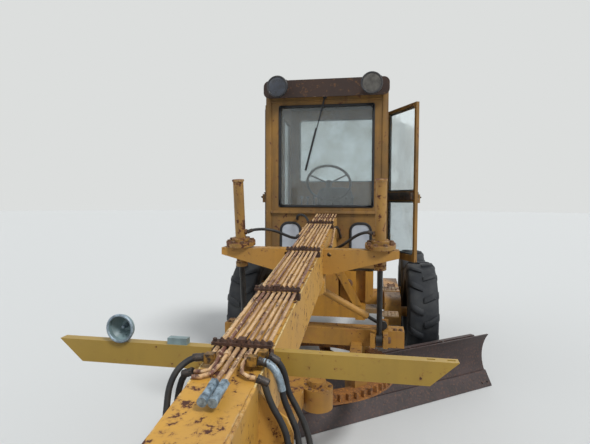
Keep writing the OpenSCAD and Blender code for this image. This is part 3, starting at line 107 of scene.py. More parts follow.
def set_shader(tree, shader, **values):
    """Sets or links a shader's inputs by name; underscores stand for spaces."""
    for key, value in values.items():
        socket = shader.inputs[key.replace("_", " ")]
        if isinstance(value, bpy.types.NodeSocket):
            tree.links.new(value, socket)
        else:
            socket.default_value = value


def blend_of(tree, factor, first, second):
    """Mixes two colours by a factor."""
    return add(tree, "Mix", {0: factor, 6: first, 7: second}, data_type="RGBA").outputs[2]


def part_of(tree, value, low, high, start=0, end=1):
    """How far a value lies from low to high, spread from start to end and kept between them."""
    return add(tree, "MapRange", {0: value, 1: low, 2: high, 3: start, 4: end}, clamp=True
               ).outputs[0]


def noise(tree, place, scale, detail, roughness=0.5, distortion=0):
    """The value of a noise texture."""
    return add(tree, "TexNoise", {"Vector": place, "Scale": scale, "Detail": detail,
                                  "Roughness": roughness, "Distortion": distortion}).outputs[0]


def bump(tree, height, strength, distance=0.001):
    """A normal bumped by a height; the distance is in metres."""
    return add(tree, "Bump", {"Height": height, "Strength": strength, "Distance": distance}
               ).outputs[0]


# Hose rubber: matt black cover, greyed by dust in soft patches a hand's width across
hose_rubber, tree, place, shader = finish_of("hose_rubber_cover")
dust = part_of(tree, noise(tree, place, 9, 5, 0.6), 0.45, 0.75)
set_shader(tree, shader, Roughness=0.62,
           Base_Color=blend_of(tree, dust, linear("#15161a"), linear("#38352f")),
           Normal=bump(tree, noise(tree, place, 420, 2), 0.25))
HOSE_D, HOSE_STEPS = 0.024, 6


def finished(name, bm, material, body="root", sharp=32):
    """Makes a piece of a bmesh: doubles merged, faces outwards, flats and edges told apart."""
    bmesh.ops.remove_doubles(bm, verts=bm.verts, dist=1e-5)
    bmesh.ops.dissolve_degenerate(bm, edges=bm.edges, dist=1e-6)
    bmesh.ops.recalc_face_normals(bm, faces=bm.faces)
    mesh = bpy.data.meshes.new(name)
    bm.to_mesh(mesh)
    bm.free()
    for face in mesh.polygons:
        face.use_smooth = True
    mesh.set_sharp_from_angle(angle=radians(sharp))
    mesh.materials.append(material)
    made = bpy.data.objects.new(name, mesh)
    bpy.context.scene.collection.objects.link(made)
    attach(made, body)
    return made


def facing(spot, way):
    """A place at a spot, whose own Z axis looks along a direction."""
    return Matrix.Translation(spot) @ Vector(way).to_track_quat("Z", "Y").to_matrix().to_4x4()


def turned(bm, outline, place, steps=32):
    """Turns an outline of (radius, height) points about a place's Z axis, as on a lathe."""
    spots = [bm.verts.new(place @ Vector((r, 0, h))) for r, h in outline]
    lines = [bm.edges.new(pair) for pair in zip(spots, spots[1:])]
    if (Vector(outline[0]) - Vector(outline[-1])).length > 1e-6 and outline[0][0] > 1e-6:
        lines.append(bm.edges.new((spots[-1], spots[0])))
    bmesh.ops.spin(bm, geom=spots + lines, axis=place.to_3x3() @ Vector((0, 0, 1)),
                   cent=place.translation, angle=2 * pi, steps=steps, use_merge=True,
                   use_duplicate=False)


def hexagon(bm, place, across, high):
    """A hexagon nut or bolt head with its corners turned down."""
    made = bmesh.ops.create_cone(bm, cap_ends=True, segments=6, radius1=across / 3 ** 0.5,
                                 radius2=across / 3 ** 0.5, depth=high,
                                 matrix=place @ Matrix.Translation((0, 0, high / 2)))["verts"]
    top = [line for line in {line for spot in made for line in spot.link_edges}
           if all((place.inverted() @ spot.co).z > high * 0.9 for spot in line.verts)]
    bmesh.ops.bevel(bm, geom=top, offset=across * 0.12, segments=2, profile=0.5,
                    affect="EDGES", material=-1)


def hose(name, points):
    """A round hose as a smooth curve along a route."""
    curve = bpy.data.curves.new(name, "CURVE")
    curve.dimensions = "3D"
    curve.bevel_depth = HOSE_D / 2
    curve.bevel_resolution = 5
    curve.resolution_u = 6
    curve.use_fill_caps = True
    line = curve.splines.new("POLY")
    # Catmull-Rom between the route's points, so that the hose bends smoothly
    route = [Vector(p) for p in points]
    ends = [2 * route[0] - route[1]] + route + [2 * route[-1] - route[-2]]
    smooth = []
    for i in range(len(route) - 1):
        a, b, c, d = ends[i:i + 4]
        for k in range(HOSE_STEPS):
            t = k / HOSE_STEPS
            smooth.append(0.5 * (2 * b + (c - a) * t + (2 * a - 5 * b + 4 * c - d) * t * t
                                 + (3 * b - a - 3 * c + d) * t ** 3))
    smooth.append(route[-1])
    line.points.add(len(smooth) - 1)
    for spot, point in zip(line.points, smooth):
        spot.co = (*point, 1)
    made = bpy.data.objects.new(name, curve)
    bpy.context.scene.collection.objects.link(made)
    curve.materials.append(hose_rubber)
    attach(made, "root")


# each hose's name, then its route from its exit to where it goes back in, in millimetres from
# the middle plane, the front axle and the ground, as in the part's source
hose_ends = bmesh.new()
for name, route in [
        ("hose_outer", [(138, 717, 1449), (160, 719, 1436), (181, 725, 1412), (197, 731, 1371),
            (211, 735, 1306), (243, 735, 1246), (275, 730, 1182), (300, 713, 1110),
            (305, 678, 1030), (288, 620, 956), (242, 545, 895), (186, 476, 859), (131, 430, 845)]),
        ("hose_middle", [(107, 672, 1443), (139, 672, 1436), (171, 670, 1412), (194, 667, 1366),
            (208, 664, 1307), (231, 662, 1253), (257, 655, 1194), (271, 635, 1125),
            (267, 598, 1048), (240, 528, 970), (192, 452, 918), (132, 390, 895)]),
        ("hose_inner", [(123, 598, 1406), (139, 598, 1400), (152, 597, 1380), (163, 596, 1347),
            (182, 595, 1305), (208, 594, 1262), (232, 590, 1208), (243, 571, 1140),
            (235, 530, 1069), (207, 462, 1002), (171, 396, 957), (133, 340, 935)]),
        ("hose_low_side", [(-128, 620, 1405), (-151, 621, 1398), (-171, 624, 1376),
            (-186, 627, 1338), (-196, 628, 1288), (-204, 620, 1215), (-204, 590, 1130),
            (-190, 530, 1043), (-166, 464, 976), (-134, 400, 935)]),
        ("hose_high_side", [(-104, 672, 1443), (-130, 664, 1443), (-163, 646, 1432),
            (-193, 618, 1402), (-210, 592, 1350), (-210, 566, 1278), (-202, 528, 1190),
            (-185, 476, 1105), (-162, 416, 1036), (-134, 360, 990)]),
        ("hose_lift_right", [(-508, 2662, 1779), (-483, 2667, 1788), (-446, 2680, 1797),
            (-384, 2702, 1800), (-324, 2727, 1792), (-272, 2754, 1775), (-222, 2789, 1750),
            (-180, 2835, 1728), (-152, 2888, 1717), (-142, 2943, 1719), (-142, 2998, 1727)]),
        ("hose_lift_left", [(508, 2662, 1779), (485, 2668, 1787), (454, 2682, 1787),
            (411, 2704, 1774), (364, 2729, 1748), (317, 2757, 1712), (270, 2791, 1676),
            (218, 2837, 1645), (172, 2886, 1626), (146, 2940, 1624), (142, 2998, 1632)]),
        ("hose_cab_loop", [(-142, 3563, 1806), (-144, 3601, 1816), (-156, 3644, 1838),
            (-186, 3696, 1868), (-226, 3743, 1887), (-268, 3788, 1886), (-294, 3826, 1866),
            (-300, 3851, 1840)]),
        ("hose_cab_side", [(142, 3423, 1770), (145, 3483, 1778), (150, 3552, 1774),
            (156, 3632, 1752), (160, 3711, 1718), (162, 3791, 1680), (163, 3855, 1650)])]:
    line = [at(*(c / 1000 for c in point)) for point in route]
    hose(name, line)
    # crimped sleeve and hexagon at both ends
    for spot, after in ((line[0], line[1]), (line[-1], line[-2])):
        place = facing(spot, after - spot)
        turned(hose_ends, [(0.0121, 0.003), (0.0150, 0.003), (0.0162, 0.006), (0.0150, 0.012),
                           (0.0150, 0.016), (0.0158, 0.020), (0.0150, 0.024), (0.0158, 0.030),
                           (0.0150, 0.036), (0.0142, 0.044), (0.0121, 0.046)], place, 20)
        hexagon(hose_ends, place, 0.030, 0.012)


def oxide(name, dark, mid, bloom, rough=0.8, metal=0.0, scale=9.0):
    """Rusted or oiled steel: two tones in clouds, with specks of a third."""
    made, tree, place, shader = finish_of(name)
    cloud = noise(tree, place, scale, 9, 0.68)
    fine = noise(tree, place, scale * 9, 4)
    base = blend_of(tree, part_of(tree, cloud, 0.36, 0.62), linear(dark), linear(mid))
    set_shader(tree, shader, Metallic=metal,
               Base_Color=blend_of(tree, part_of(tree, fine, 0.52, 0.74), base, linear(bloom)),
               Roughness=part_of(tree, cloud, 0, 1, rough - 0.15, rough + 0.1),
               Normal=bump(tree, fine, 0.3, 0.0015))
    return made


# crimped steel, oily black with brown specks
sleeve_steel = oxide("oily_crimped_steel", "#1f1f21", "#3d3935", "#5e4230", rough=0.5, metal=0.2,
                     scale=40)
finished("hose_sleeves", hose_ends, sleeve_steel)
# zinc plating gone dull, on the middle hose's swept elbow and on the bar lamp's ring
zinc_steel = oxide("dull_zinc_plating", "#5f6e79", "#9db0bd", "#6f6a63", rough=0.45, metal=0.25,
                   scale=40)
bm = bmesh.new()
bend = [at(*p) for p in ((0.124, 0.672, 1.440), (0.143, 0.672, 1.436), (0.160, 0.671, 1.425),
                         (0.175, 0.670, 1.408), (0.186, 0.668, 1.388), (0.194, 0.667, 1.364),
                         (0.200, 0.666, 1.338))]
rings = []
for i, spot in enumerate(bend):
    way = bend[min(i + 1, len(bend) - 1)] - bend[max(i - 1, 0)]
    ring = bmesh.ops.create_circle(bm, segments=20, radius=0.0148, matrix=facing(spot, way))
    rings.append({line for dot in ring["verts"] for line in dot.link_edges})
for first, second in zip(rings, rings[1:]):
    bmesh.ops.bridge_loops(bm, edges=list(first | second))
bmesh.ops.holes_fill(bm, edges=[line for line in bm.edges if line.is_boundary])
finished("elbow_sleeve", bm, zinc_steel)


# Floor and backdrop: a matt painted studio floor and a background of the same pale tone. Lamps
# and sky light are soft and plain, with one broad lamp high before the machine's left side.
def maths(tree, operation, first, second):
    """Two values through a Math node."""
    return add(tree, "Math", {0: first, 1: second}, operation=operation).outputs[0]


FLOOR_TONE, FLOOR_RADIUS, FLOOR_Z_LOW = linear("#dcdedd"), 90, -0.002
floor_mesh = bpy.data.meshes.new("floor")
bm = bmesh.new()
bmesh.ops.create_circle(bm, cap_ends=True, radius=FLOOR_RADIUS, segments=64,
                        matrix=Matrix.Translation(at(0, 0, FLOOR_Z_LOW)))
bm.to_mesh(floor_mesh)
bm.free()
floor = bpy.data.objects.new("floor", floor_mesh)
bpy.context.scene.collection.objects.link(floor)
studio_floor, tree, place, shader = finish_of("studio_floor")
set_shader(tree, shader, Base_Color=linear("#cfd1d0"), Roughness=0.9)
floor_mesh.materials.append(studio_floor)

world = bpy.data.worlds.new("studio")
bpy.context.scene.world = world
world.use_nodes = True
tree = world.node_tree
tree.nodes.clear()
path = add(tree, "LightPath")
seen = maths(tree, "MAXIMUM", path.outputs["Is Camera Ray"], path.outputs["Is Glossy Ray"])
seen = maths(tree, "MAXIMUM", seen, path.outputs["Is Transmission Ray"])
sky = add(tree, "Background", {"Color": linear("#d9dde2"), "Strength": 0.56})
back = add(tree, "Background", {"Color": FLOOR_TONE, "Strength": 1.0})
both = add(tree, "MixShader", {0: seen, 1: sky.outputs[0], 2: back.outputs[0]})
add(tree, "OutputWorld", {"Surface": both.outputs[0]})

# name, strength, angle across and the two turns of each lamp
for name, strength, spread, tilt, spin in [("key", 2.3, 14, 42, 48), ("fill", 0.6, 60, 55, -60),
                                           ("rear", 0.4, 60, 55, 160)]:
    lamp = bpy.data.lights.new(name, "SUN")
    lamp.energy = strength
    lamp.angle = radians(spread)
    light = bpy.data.objects.new(name, lamp)
    light.matrix_world = Matrix.Rotation(radians(spin), 4, "Z") @ Matrix.Rotation(
        radians(tilt), 4, "X")
    bpy.context.scene.collection.objects.link(light)


# Painted steel: brushed-on and sprayed machine enamel over rolled steel, years outdoors. The
# pigment fades in soft clouds, rust comes through in clusters of specks, bleeds down in streaks
# and has taken the edges.
RUSTS = ("#43291f", "#704029", "#9c6234")


def worn_paint(name, fresh, faded, specks=0.5, stain=0.35, streaks=0.3, chips=0.5, rough=0.5,
               dirt="#4d3b28", primer=0.5):
    """Weathered enamel; specks, stain, streaks, chips and primer are shares from 0 to 1."""
    made, tree, place, shader = finish_of(name)
    # clouds of fading about half a metre across
    cloud = noise(tree, place, 1.9, 7, 0.62)
    paint = blend_of(tree, part_of(tree, cloud, 0.34, 0.66), linear(fresh), linear(faded))
    # orange-brown stain in patches a hand's width across
    patch = noise(tree, place, 6.5, 9, 0.66, distortion=0.5)
    stained = part_of(tree, patch, 0.72 - 0.3 * stain, 0.92 - 0.3 * stain)
    paint = blend_of(tree, maths(tree, "MULTIPLY", stained, 0.75), paint, linear(RUSTS[2]))
    # dirty streaks that run down, a few centimetres wide and up to a metre long
    long = add(tree, "Mapping", {"Vector": place, "Scale": (16, 16, 1.1)}).outputs[0]
    run = part_of(tree, noise(tree, long, 1, 5), 0.5, 0.78)
    paint = blend_of(tree, maths(tree, "MULTIPLY", run, streaks), paint, linear(dirt))
    # rust scabs from two millimetres to five centimetres across, in clusters
    speck = noise(tree, place, 21, 9, 0.7)
    reach = part_of(tree, noise(tree, place, 4.2, 3), 0.36, 0.62, 0.66, 0.66 - 0.13 * specks)
    over = maths(tree, "SUBTRACT", speck, reach)
    # rain stands on what looks up, so there is more of it there
    flat = add(tree, "NewGeometry")
    up = add(tree, "SeparateXYZ", {"Vector": flat.outputs["Normal"]}).outputs["Z"]
    over = add(tree, "Math", {0: part_of(tree, up, 0.6, 1), 1: 0.065 * specks, 2: over},
               operation="MULTIPLY_ADD").outputs[0]
    rusted = part_of(tree, over, 0.0, 0.02)
    # and a brown stain round each scab
    halo = maths(tree, "MULTIPLY", part_of(tree, over, -0.07, 0.01), 0.55)
    paint = blend_of(tree, halo, paint, linear("#8a5f33"))
    # worn edges: where the rounded normal leaves the face's own normal
    soft = add(tree, "Bevel", {"Radius": 0.012}, samples=3)
    along = add(tree, "VectorMath", {0: soft.outputs[0], 1: flat.outputs["Normal"]},
                operation="DOT_PRODUCT").outputs["Value"]
    edge = part_of(tree, along, 0.985, 0.90)
    broken = part_of(tree, noise(tree, place, 24, 6), 0.68 - 0.22 * chips, 0.76 - 0.22 * chips)
    rust = maths(tree, "MAXIMUM", rusted, maths(tree, "MULTIPLY", edge, broken))
    tone = blend_of(tree, part_of(tree, speck, 0.4, 0.7), linear(RUSTS[1]), linear(RUSTS[0]))
    # chips along an edge show the pale primer before they rust
    pale = maths(tree, "MULTIPLY", edge, part_of(tree, speck, 0.52, 0.42))
    tone = blend_of(tree, maths(tree, "MULTIPLY", pale, primer), tone, linear("#d6c8a6"))
    set_shader(tree, shader, Base_Color=blend_of(tree, rust, paint, tone),
               Roughness=part_of(tree, rust, 0, 1, rough, 0.9),
               Normal=bump(tree, maths(tree, "ADD", rust, patch), 0.35, 0.002))
    return made


def dress(material, *nodes):
    """Gives CAD nodes their finish."""
    for node in nodes:
        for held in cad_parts[node].material_slots:
            held.material = material


beam_paint = worn_paint("ochre_enamel_beam", "#c6953c", "#b48a49", specks=0.65, stain=0.4,
                        streaks=0.15, chips=0.9, primer=0.9)
frame_paint = worn_paint("ochre_enamel_frame", "#b8842c", "#94692b", stain=0.5, streaks=0.45)
axle_paint = worn_paint("ochre_enamel_axle", "#a87a2c", "#7d5a2c", specks=0.6, stain=0.6,
                        rough=0.65)
dress(beam_paint, "main_beam")
dress(frame_paint, "rear_frame", "rear_axle", "tandem_cases", "front_tank")
dress(axle_paint, "front_axle", "drawbar", "knuckle_left", "knuckle_right")
cross_paint = worn_paint("ochre_enamel_crossbeam", "#b38233", "#a0783a", specks=0.45, stain=0.3,
                         streaks=0.2)
dress(cross_paint, "lift_crossbeam", "shift_barrel")
bar_paint = worn_paint("olive_enamel_lamp_bar", "#a8893c", "#9a7f3a", specks=0.2, stain=0.12,
                       streaks=0.15, chips=0.3)
dress(bar_paint, "lamp_bar")
barrel_paint = worn_paint("ochre_enamel_barrels", "#ad8440", "#8f6c36", specks=1.2, stain=0.45,
                          streaks=0.7, chips=0.9)
dress(barrel_paint, "lift_barrels", "side_barrel")
cab_paint = worn_paint("olive_ochre_enamel_cab", "#90692c", "#6b5029", specks=0.6,
                       streaks=0.6, rough=0.6, dirt="#3d2c1e")
dress(cab_paint, "cab_front", "cab_sides", "cab_rear", "door_left", "door_right")
# visor and roof: dark brown enamel, painted darker still as painted shade where the visor's front
# lies in shadow
roof_paint_and_shade = worn_paint("brown_enamel_roof_and_painted_shade", "#38241a", "#2b1c17", specks=0.2, stain=0.0,
                        streaks=0.4, rough=0.7, dirt="#231915")
dress(roof_paint_and_shade, "cab_visor", "cab_roof")
hood_paint = worn_paint("ochre_enamel_hood", "#c08c2e", "#b5863a", specks=0.4, stain=0.3)
dress(hood_paint, "hood", "grille")
step_paint = worn_paint("worn_step_paint", "#8a6a35", "#7a6a52", specks=0.8, stain=0.7)
dress(step_paint, "steps")
rim_paint = worn_paint("chalky_ochre_rims", "#9a7a3c", "#86703f", stain=0.4, rough=0.75)
dress(rim_paint, *[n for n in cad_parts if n.startswith("rim_")])


# Bare steel: forged and turned parts that were never painted, or have lost it. The rods are
# ground bright and greasy, the rest has a brown oxide skin with orange bloom.
rod_steel = oxide("oiled_ground_steel", "#232426", "#3e3d3b", "#3c342d", rough=0.42, metal=0.7)
dress(rod_steel, "lift_rod_left", "lift_rod_right", "shift_rod", "side_rod", "tie_rod")
blade_steel = oxide("dark_blade_steel", "#2b2222", "#3f3130", "#553c30", rough=0.62, scale=5)
dress(blade_steel, "moldboard", "cutting_edge")
circle_steel = oxide("rusted_circle_steel", "#4a3020", "#8a5a2a", "#b3762e")
dress(circle_steel, "blade_circle")
# oil pipes: drawn steel tube, some with tan paint left and some bare and brown, streaked
pipe_steel, tree, place, shader = finish_of("rusty_oil_pipe")
lane = add(tree, "Mapping", {"Vector": place, "Scale": (31, 0.8, 0)}).outputs[0]
streak = add(tree, "Mapping", {"Vector": place, "Scale": (70, 7, 70)}).outputs[0]
fleck = noise(tree, place, 75, 5)
tone = blend_of(tree, part_of(tree, noise(tree, lane, 1, 0), 0.46, 0.66), linear("#c7a377"),
                linear("#6f4a3d"))
tone = blend_of(tree, part_of(tree, noise(tree, streak, 1, 6), 0.51, 0.68), tone,
                linear("#4b3029"))
tone = blend_of(tree, part_of(tree, fleck, 0.56, 0.70), tone, linear("#d8bd98"))
set_shader(tree, shader, Base_Color=tone, Roughness=0.55, Normal=bump(tree, fleck, 0.3, 0.0015))
dress(pipe_steel, "beam_pipes")
# unions: the two caps in front are plated steel gone blue-grey, the elbow blocks behind them
# have the beam's paint under oil, and the nuts at the cab are brown
union_steel, tree, place, shader = finish_of("plated_and_oiled_unions")
along = add(tree, "SeparateXYZ", {"Vector": place}).outputs["Y"]
mottle = noise(tree, place, 42, 7, 0.65)
tones = [blend_of(tree, part_of(tree, mottle, 0.38, 0.62), linear(a), linear(b))
         for a, b in (("#4d5a63", "#93a7b4"), ("#2b221d", "#a5792f"), ("#3a281f", "#7b5238"))]
tone = tones[0]
for behind, y in zip(tones[1:], (0.58, 2.0)):
    edge = at(0, y, 0).y
    tone = blend_of(tree, part_of(tree, along, edge, edge + 0.001), tone, behind)
set_shader(tree, shader, Base_Color=tone, Metallic=0.2, Roughness=0.5,
           Normal=bump(tree, mottle, 0.3))
dress(union_steel, "pipe_unions")
# clamps and exhaust: plain steel with thick brown rust; engine: oily grey cast iron
clamp_steel = oxide("rusty_clamp_steel", "#261b17", "#4a3226", "#6b4a35")
dress(clamp_steel, "pipe_clamps")
stack_steel = oxide("rusted_exhaust_sheet", "#3b2a22", "#5f3d2a", "#7d4f30", rough=0.85)
dress(stack_steel, "exhaust")
engine_iron = oxide("oily_cast_iron", "#26282a", "#3d3f42", "#4d4238", rough=0.6)
dress(engine_iron, "engine_block")


# Cab inside: steering wheel and console of moulded black plastic, bolted to a painted steel
# floor plate
def plain(name, tone, wear, rough, scale=14, grain=300):
    """A moulded or cast surface with a fine grain and soft patches of wear."""
    made, tree, place, shader = finish_of(name)
    worn = part_of(tree, noise(tree, place, scale, 6), 0.42, 0.75)
    set_shader(tree, shader, Roughness=rough,
               Base_Color=blend_of(tree, worn, linear(tone), linear(wear)),
               Normal=bump(tree, noise(tree, place, grain, 2), 0.2))
    return made


black_plastic = plain("black_moulded_plastic", "#1f2126", "#4a4a49", 0.55)
dress(black_plastic, "steering_wheel", "console")
floor_plate = plain("painted_floor_plate", "#4d463b", "#6b5d48", 0.8)
dress(floor_plate, "cab_floor")
# lamps: pressed steel, enamelled black on the roof and grey-blue on the bar
lamp_black = plain("black_lamp_housing", "#22242a", "#45413e", 0.5)
dress(lamp_black, "roof_lamps")
bucket_green = plain("grey_blue_lamp_bucket", "#7d9295", "#5f6c6c", 0.45)
dress(bucket_green, "bar_lamp")
# toughened glass, clear with a film of dust
glass, tree, place, shader = finish_of("toughened_glass")
dusty = part_of(tree, noise(tree, place, 3.5, 8, 0.7), 0.45, 0.8)
set_shader(tree, shader, IOR=1.5, Transmission_Weight=0.92,
           Base_Color=blend_of(tree, dusty, linear("#e3ecee"), linear("#c5cac6")),
           Roughness=part_of(tree, dusty, 0, 1, 0.02, 0.3))
dress(glass, "cab_glass", "door_glass_left", "door_glass_right")


# Tyres: bias-ply grader tyres of black rubber, with worn bars that lean back to the shoulders, a
# rim guard and two moulded rings on the sidewall. They replace the plain tyres.
TREAD_DEEP, LUGS = 0.030, 14
tyre_rubber = plain("dry_tyre_rubber", "#181c22", "#37393a", 0.72, scale=7, grain=240)
# the worn bars' crowns: distance from the tyre's middle, and depth below its outside
CROWN = [(0, 0.002), (0.110, 0), (0.140, 0.006), (0.158, 0.014), (0.168, 0.024), (0.1745, 0.050)]


def along_crown(x):
    """How far the worn crown lies below the tyre's outside, at a distance from its middle."""
    for (x0, d0), (x1, d1) in zip(CROWN, CROWN[1:]):
        if x <= x1:
            return d0 + (d1 - d0) * (x - x0) / (x1 - x0)
    return CROWN[-1][1]


def tyre(name, node, body):
    """A tyre at its plain node's place, on its wheel's body."""
    low, high = (Vector(corner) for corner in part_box(node))
    middle, radius = (low + high) / 2, (high.z - low.z) / 2
    tread = radius - TREAD_DEEP
    bm = bmesh.new()
    half = [(0.3053, 0.100), (0.322, 0.106), (0.335, 0.110), (0.338, 0.121), (0.346, 0.126),
            (0.354, 0.127), (0.360, 0.133), (0.385, 0.156), (0.400, 0.165), (0.403, 0.169),
            (0.410, 0.169), (0.413, 0.170), (0.440, 0.175), (0.480, 0.176), (0.500, 0.175),
            (0.503, 0.177), (0.509, 0.177), (0.512, 0.174), (tread - 0.060, 0.172),
            (tread - 0.037, 0.168), (tread - 0.014, 0.157), (tread, 0.138), (tread + 0.002, 0.06)]
    wheel = facing(middle, (1, 0, 0))
    turned(bm, half + [(r, -w) for r, w in reversed(half)], wheel, 72)
    for side in (-1, 1):
        for i in range(LUGS):
            turn = -(i + (0.5 if side > 0 else 0)) * 2 * pi / LUGS
            before = len(bm.verts)
            made = bmesh.ops.create_cube(bm, size=1)["verts"]
            lines = list({line for spot in made for line in spot.link_edges})
            bmesh.ops.subdivide_edges(bm, edges=lines, cuts=3, use_grid_fill=True)
            for spot in bm.verts[:][before:]:
                out, wide, up = spot.co.x + 0.5, spot.co.y * 2, spot.co.z + 0.5
                x = 0.005 + 0.1695 * out
                # bars are narrower at their crown, broader outwards, and their corners are worn
                round_off = 0.007 * abs(wide) ** 5 + 0.006 * abs(2 * out - 1) ** 9
                top = radius - along_crown(x) - round_off
                base = tread - 0.012 - 0.055 * max(0, (x - 0.125) / 0.050) ** 1.5
                reach = 0.092 * out ** 1.25 + wide * (0.040 + 0.009 * out) * (1 - 0.16 * up)
                r = base + (top - base) * up
                angle = turn + reach / radius
                spot.co = middle + Vector((side * x, r * sin(angle), r * cos(angle)))
    made = finished(name, bm, tyre_rubber, body, sharp=50)
    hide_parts(node)


WHEELS = [(side, f"{row}_{hand}") for row in ("front", "mid", "rear")
          for side, hand in ((-1, "right"), (1, "left"))]
for side, wheel in WHEELS:
    tyre(f"tyre_tread_{wheel}", f"tyre_{wheel}", f"wheel_{wheel}")


# Wheel nuts and hub caps: ten hexagon nuts on studs round a turned cap, plated and then rusted
nut_steel = oxide("rusted_nut_steel", "#3d2c22", "#6b4a30", "#8f6a40", rough=0.75, scale=30)
HUB_X, NUTS, NUT_RING = 1.172, 10, 0.090
for side, wheel in WHEELS:
    low, high = (Vector(corner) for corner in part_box(f"rim_{wheel}"))
    middle = (low + high) / 2
    bm = bmesh.new()
    hub = facing((MIDDLE_X + side * HUB_X, middle.y, middle.z), (side, 0, 0))
    turned(bm, [(0, 0.030), (0.030, 0.029), (0.050, 0.024), (0.056, 0.014), (0.057, 0.004),
                (0.064, 0.003), (0.066, -0.002), (0, -0.002)], hub)
    for i in range(NUTS):
        place = (hub @ Matrix.Rotation(i * 2 * pi / NUTS, 4, "Z")
                 @ Matrix.Translation((NUT_RING, 0, 0)))
        hexagon(bm, place, 0.027, 0.020)
        turned(bm, [(0, 0.034), (0.007, 0.034), (0.009, 0.032), (0.009, -0.001), (0, -0.001)],
               place, 12)
    finished(f"wheel_nuts_{wheel}", bm, nut_steel, f"wheel_{wheel}")


# Window rubber: black moulded sections pressed over the edge of each opening, round the glass
CAB_Y, CAB_HALF, CAB_LONG, DOOR_OPEN = 3.860, 0.636, 1.300, radians(27)
HINGE_Y, HINGE_OUT, SIDE_GLASS, DOOR_GLASS = 4.570, 0.0456, (4.640, 5.060), (3.966, 4.534)
SCREEN_HALF, SCREEN_LOW, SCREEN_HIGH = 0.497, 1.973, 3.035
SEAL_WIDE, SEAL_DEEP, SEAL_IN = 0.027, 0.026, 0.017
seal_rubber = plain("window_seal_rubber", "#0f1012", "#26262a", 0.6, scale=20, grain=350)


def rounded(bm, low, high, corner, place):
    """A flat sheet between two corners of a place, with its corners rounded."""
    spots = []
    for i, (x, y) in enumerate(((high[0], high[1]), (low[0], high[1]), (low[0], low[1]),
                                (high[0], low[1]))):
        centre = (x + (corner if x == low[0] else -corner),
                  y + (corner if y == low[1] else -corner))
        for k in range(9):
            a = (i + k / 8) * pi / 2
            spots.append(bm.verts.new(place @ Vector((centre[0] + corner * cos(a),
                                                      centre[1] + corner * sin(a), 0))))
    face = bm.faces.new(spots)
    face.normal_update()
    return face


def seal(bm, low, high, corner, place):
    """A rubber frame round an opening; low and high are its corners, corner its radius."""
    grow = SEAL_WIDE * 0.4
    face = rounded(bm, (low[0] - grow, low[1] - grow), (high[0] + grow, high[1] + grow), corner,
                   place)
    ring = bmesh.ops.inset_region(bm, faces=[face], thickness=SEAL_WIDE,
                                  use_boundary=True, use_even_offset=True)["faces"]
    bmesh.ops.delete(bm, geom=[face], context="FACES_ONLY")
    out = bmesh.ops.extrude_face_region(bm, geom=ring)["geom"]
    raised = [v for v in out if isinstance(v, bmesh.types.BMVert)]
    bmesh.ops.translate(bm, verts=raised, vec=place.to_3x3() @ Vector((0, 0, SEAL_DEEP)))
    tops = {f for f in out if isinstance(f, bmesh.types.BMFace)}
    rims = [e for f in tops for e in f.edges if sum(g in tops for g in e.link_faces) == 1]
    bmesh.ops.bevel(bm, geom=list(set(rims)), offset=0.007, segments=3, profile=0.5,
                    affect="EDGES", material=-1)


def wall_place(x, y, z, way):
    """A place on a wall: its own X runs along the wall, Y up, and Z looks out of the wall."""
    way = Vector(way)
    across = Vector((0, 0, 1)).cross(way)
    turn = Matrix((across, Vector((0, 0, 1)), way)).transposed().to_4x4()
    return Matrix.Translation(at(x, y, z)) @ turn


def door_place(side):
    """Turns a shut door's place to where the door stands: the left one stands open."""
    hinge = at(side * (CAB_HALF + HINGE_OUT), HINGE_Y, 0)
    turn = Matrix.Rotation(DOOR_OPEN if side > 0 else 0, 4, "Z")
    return Matrix.Translation(hinge) @ turn @ Matrix.Translation(-hinge)


bm = bmesh.new()
front = wall_place(0, CAB_Y + SEAL_IN, 0, (0, -1, 0))
seal(bm, (-SCREEN_HALF, SCREEN_LOW), (SCREEN_HALF, SCREEN_HIGH), 0.022, front)
rear = wall_place(0, CAB_Y + CAB_LONG - SEAL_IN, 0, (0, 1, 0))
seal(bm, (-SCREEN_HALF, 2.280), (SCREEN_HALF, 3.110), 0.022, rear)
for side in (-1, 1):
    wall = wall_place(side * (CAB_HALF - SEAL_IN), 0, 0, (side, 0, 0))
    # along the wall's own X: rearwards on the left side, forwards on the right
    ends = sorted(side * y for y in SIDE_GLASS)
    seal(bm, (ends[0], SCREEN_LOW), (ends[1], SCREEN_HIGH), 0.030, wall)
finished("window_seals", bm, seal_rubber)

# Foot windows' covers: long sheets of cast acrylic gone milky, each with a round rubber frame,
# screwed on over the two arched windows and down to the cab's lower edge
FOOT_LOW, FOOT_HIGH, FOOT_LAP, FOOT_THICK = 1.356, 1.800, 0.004, 0.004
bm, frames = bmesh.new(), bmesh.new()
flat_front = wall_place(0, CAB_Y + 0.0005, 0, (0, -1, 0)) @ Matrix.Diagonal((1, 1, 0.45, 1))
for x0, x1 in ((-0.482, -0.266), (0.266, 0.482)):
    seal(frames, (x0, FOOT_LOW), (x1, FOOT_HIGH), 0.094, flat_front)
    sheet = rounded(bm, (x0 - FOOT_LAP, FOOT_LOW - FOOT_LAP),
                    (x1 + FOOT_LAP, FOOT_HIGH + FOOT_LAP), 0.090, flat_front)
    raised = bmesh.ops.extrude_face_region(bm, geom=[sheet])["geom"]
    bmesh.ops.translate(bm, verts=[v for v in raised if isinstance(v, bmesh.types.BMVert)],
                        vec=(0, -FOOT_THICK, 0))
finished("foot_frames", frames, seal_rubber)
milky = plain("milky_acrylic", "#b3bac4", "#98a1ad", 0.35, scale=9, grain=60)
finished("foot_panes", bm, milky)
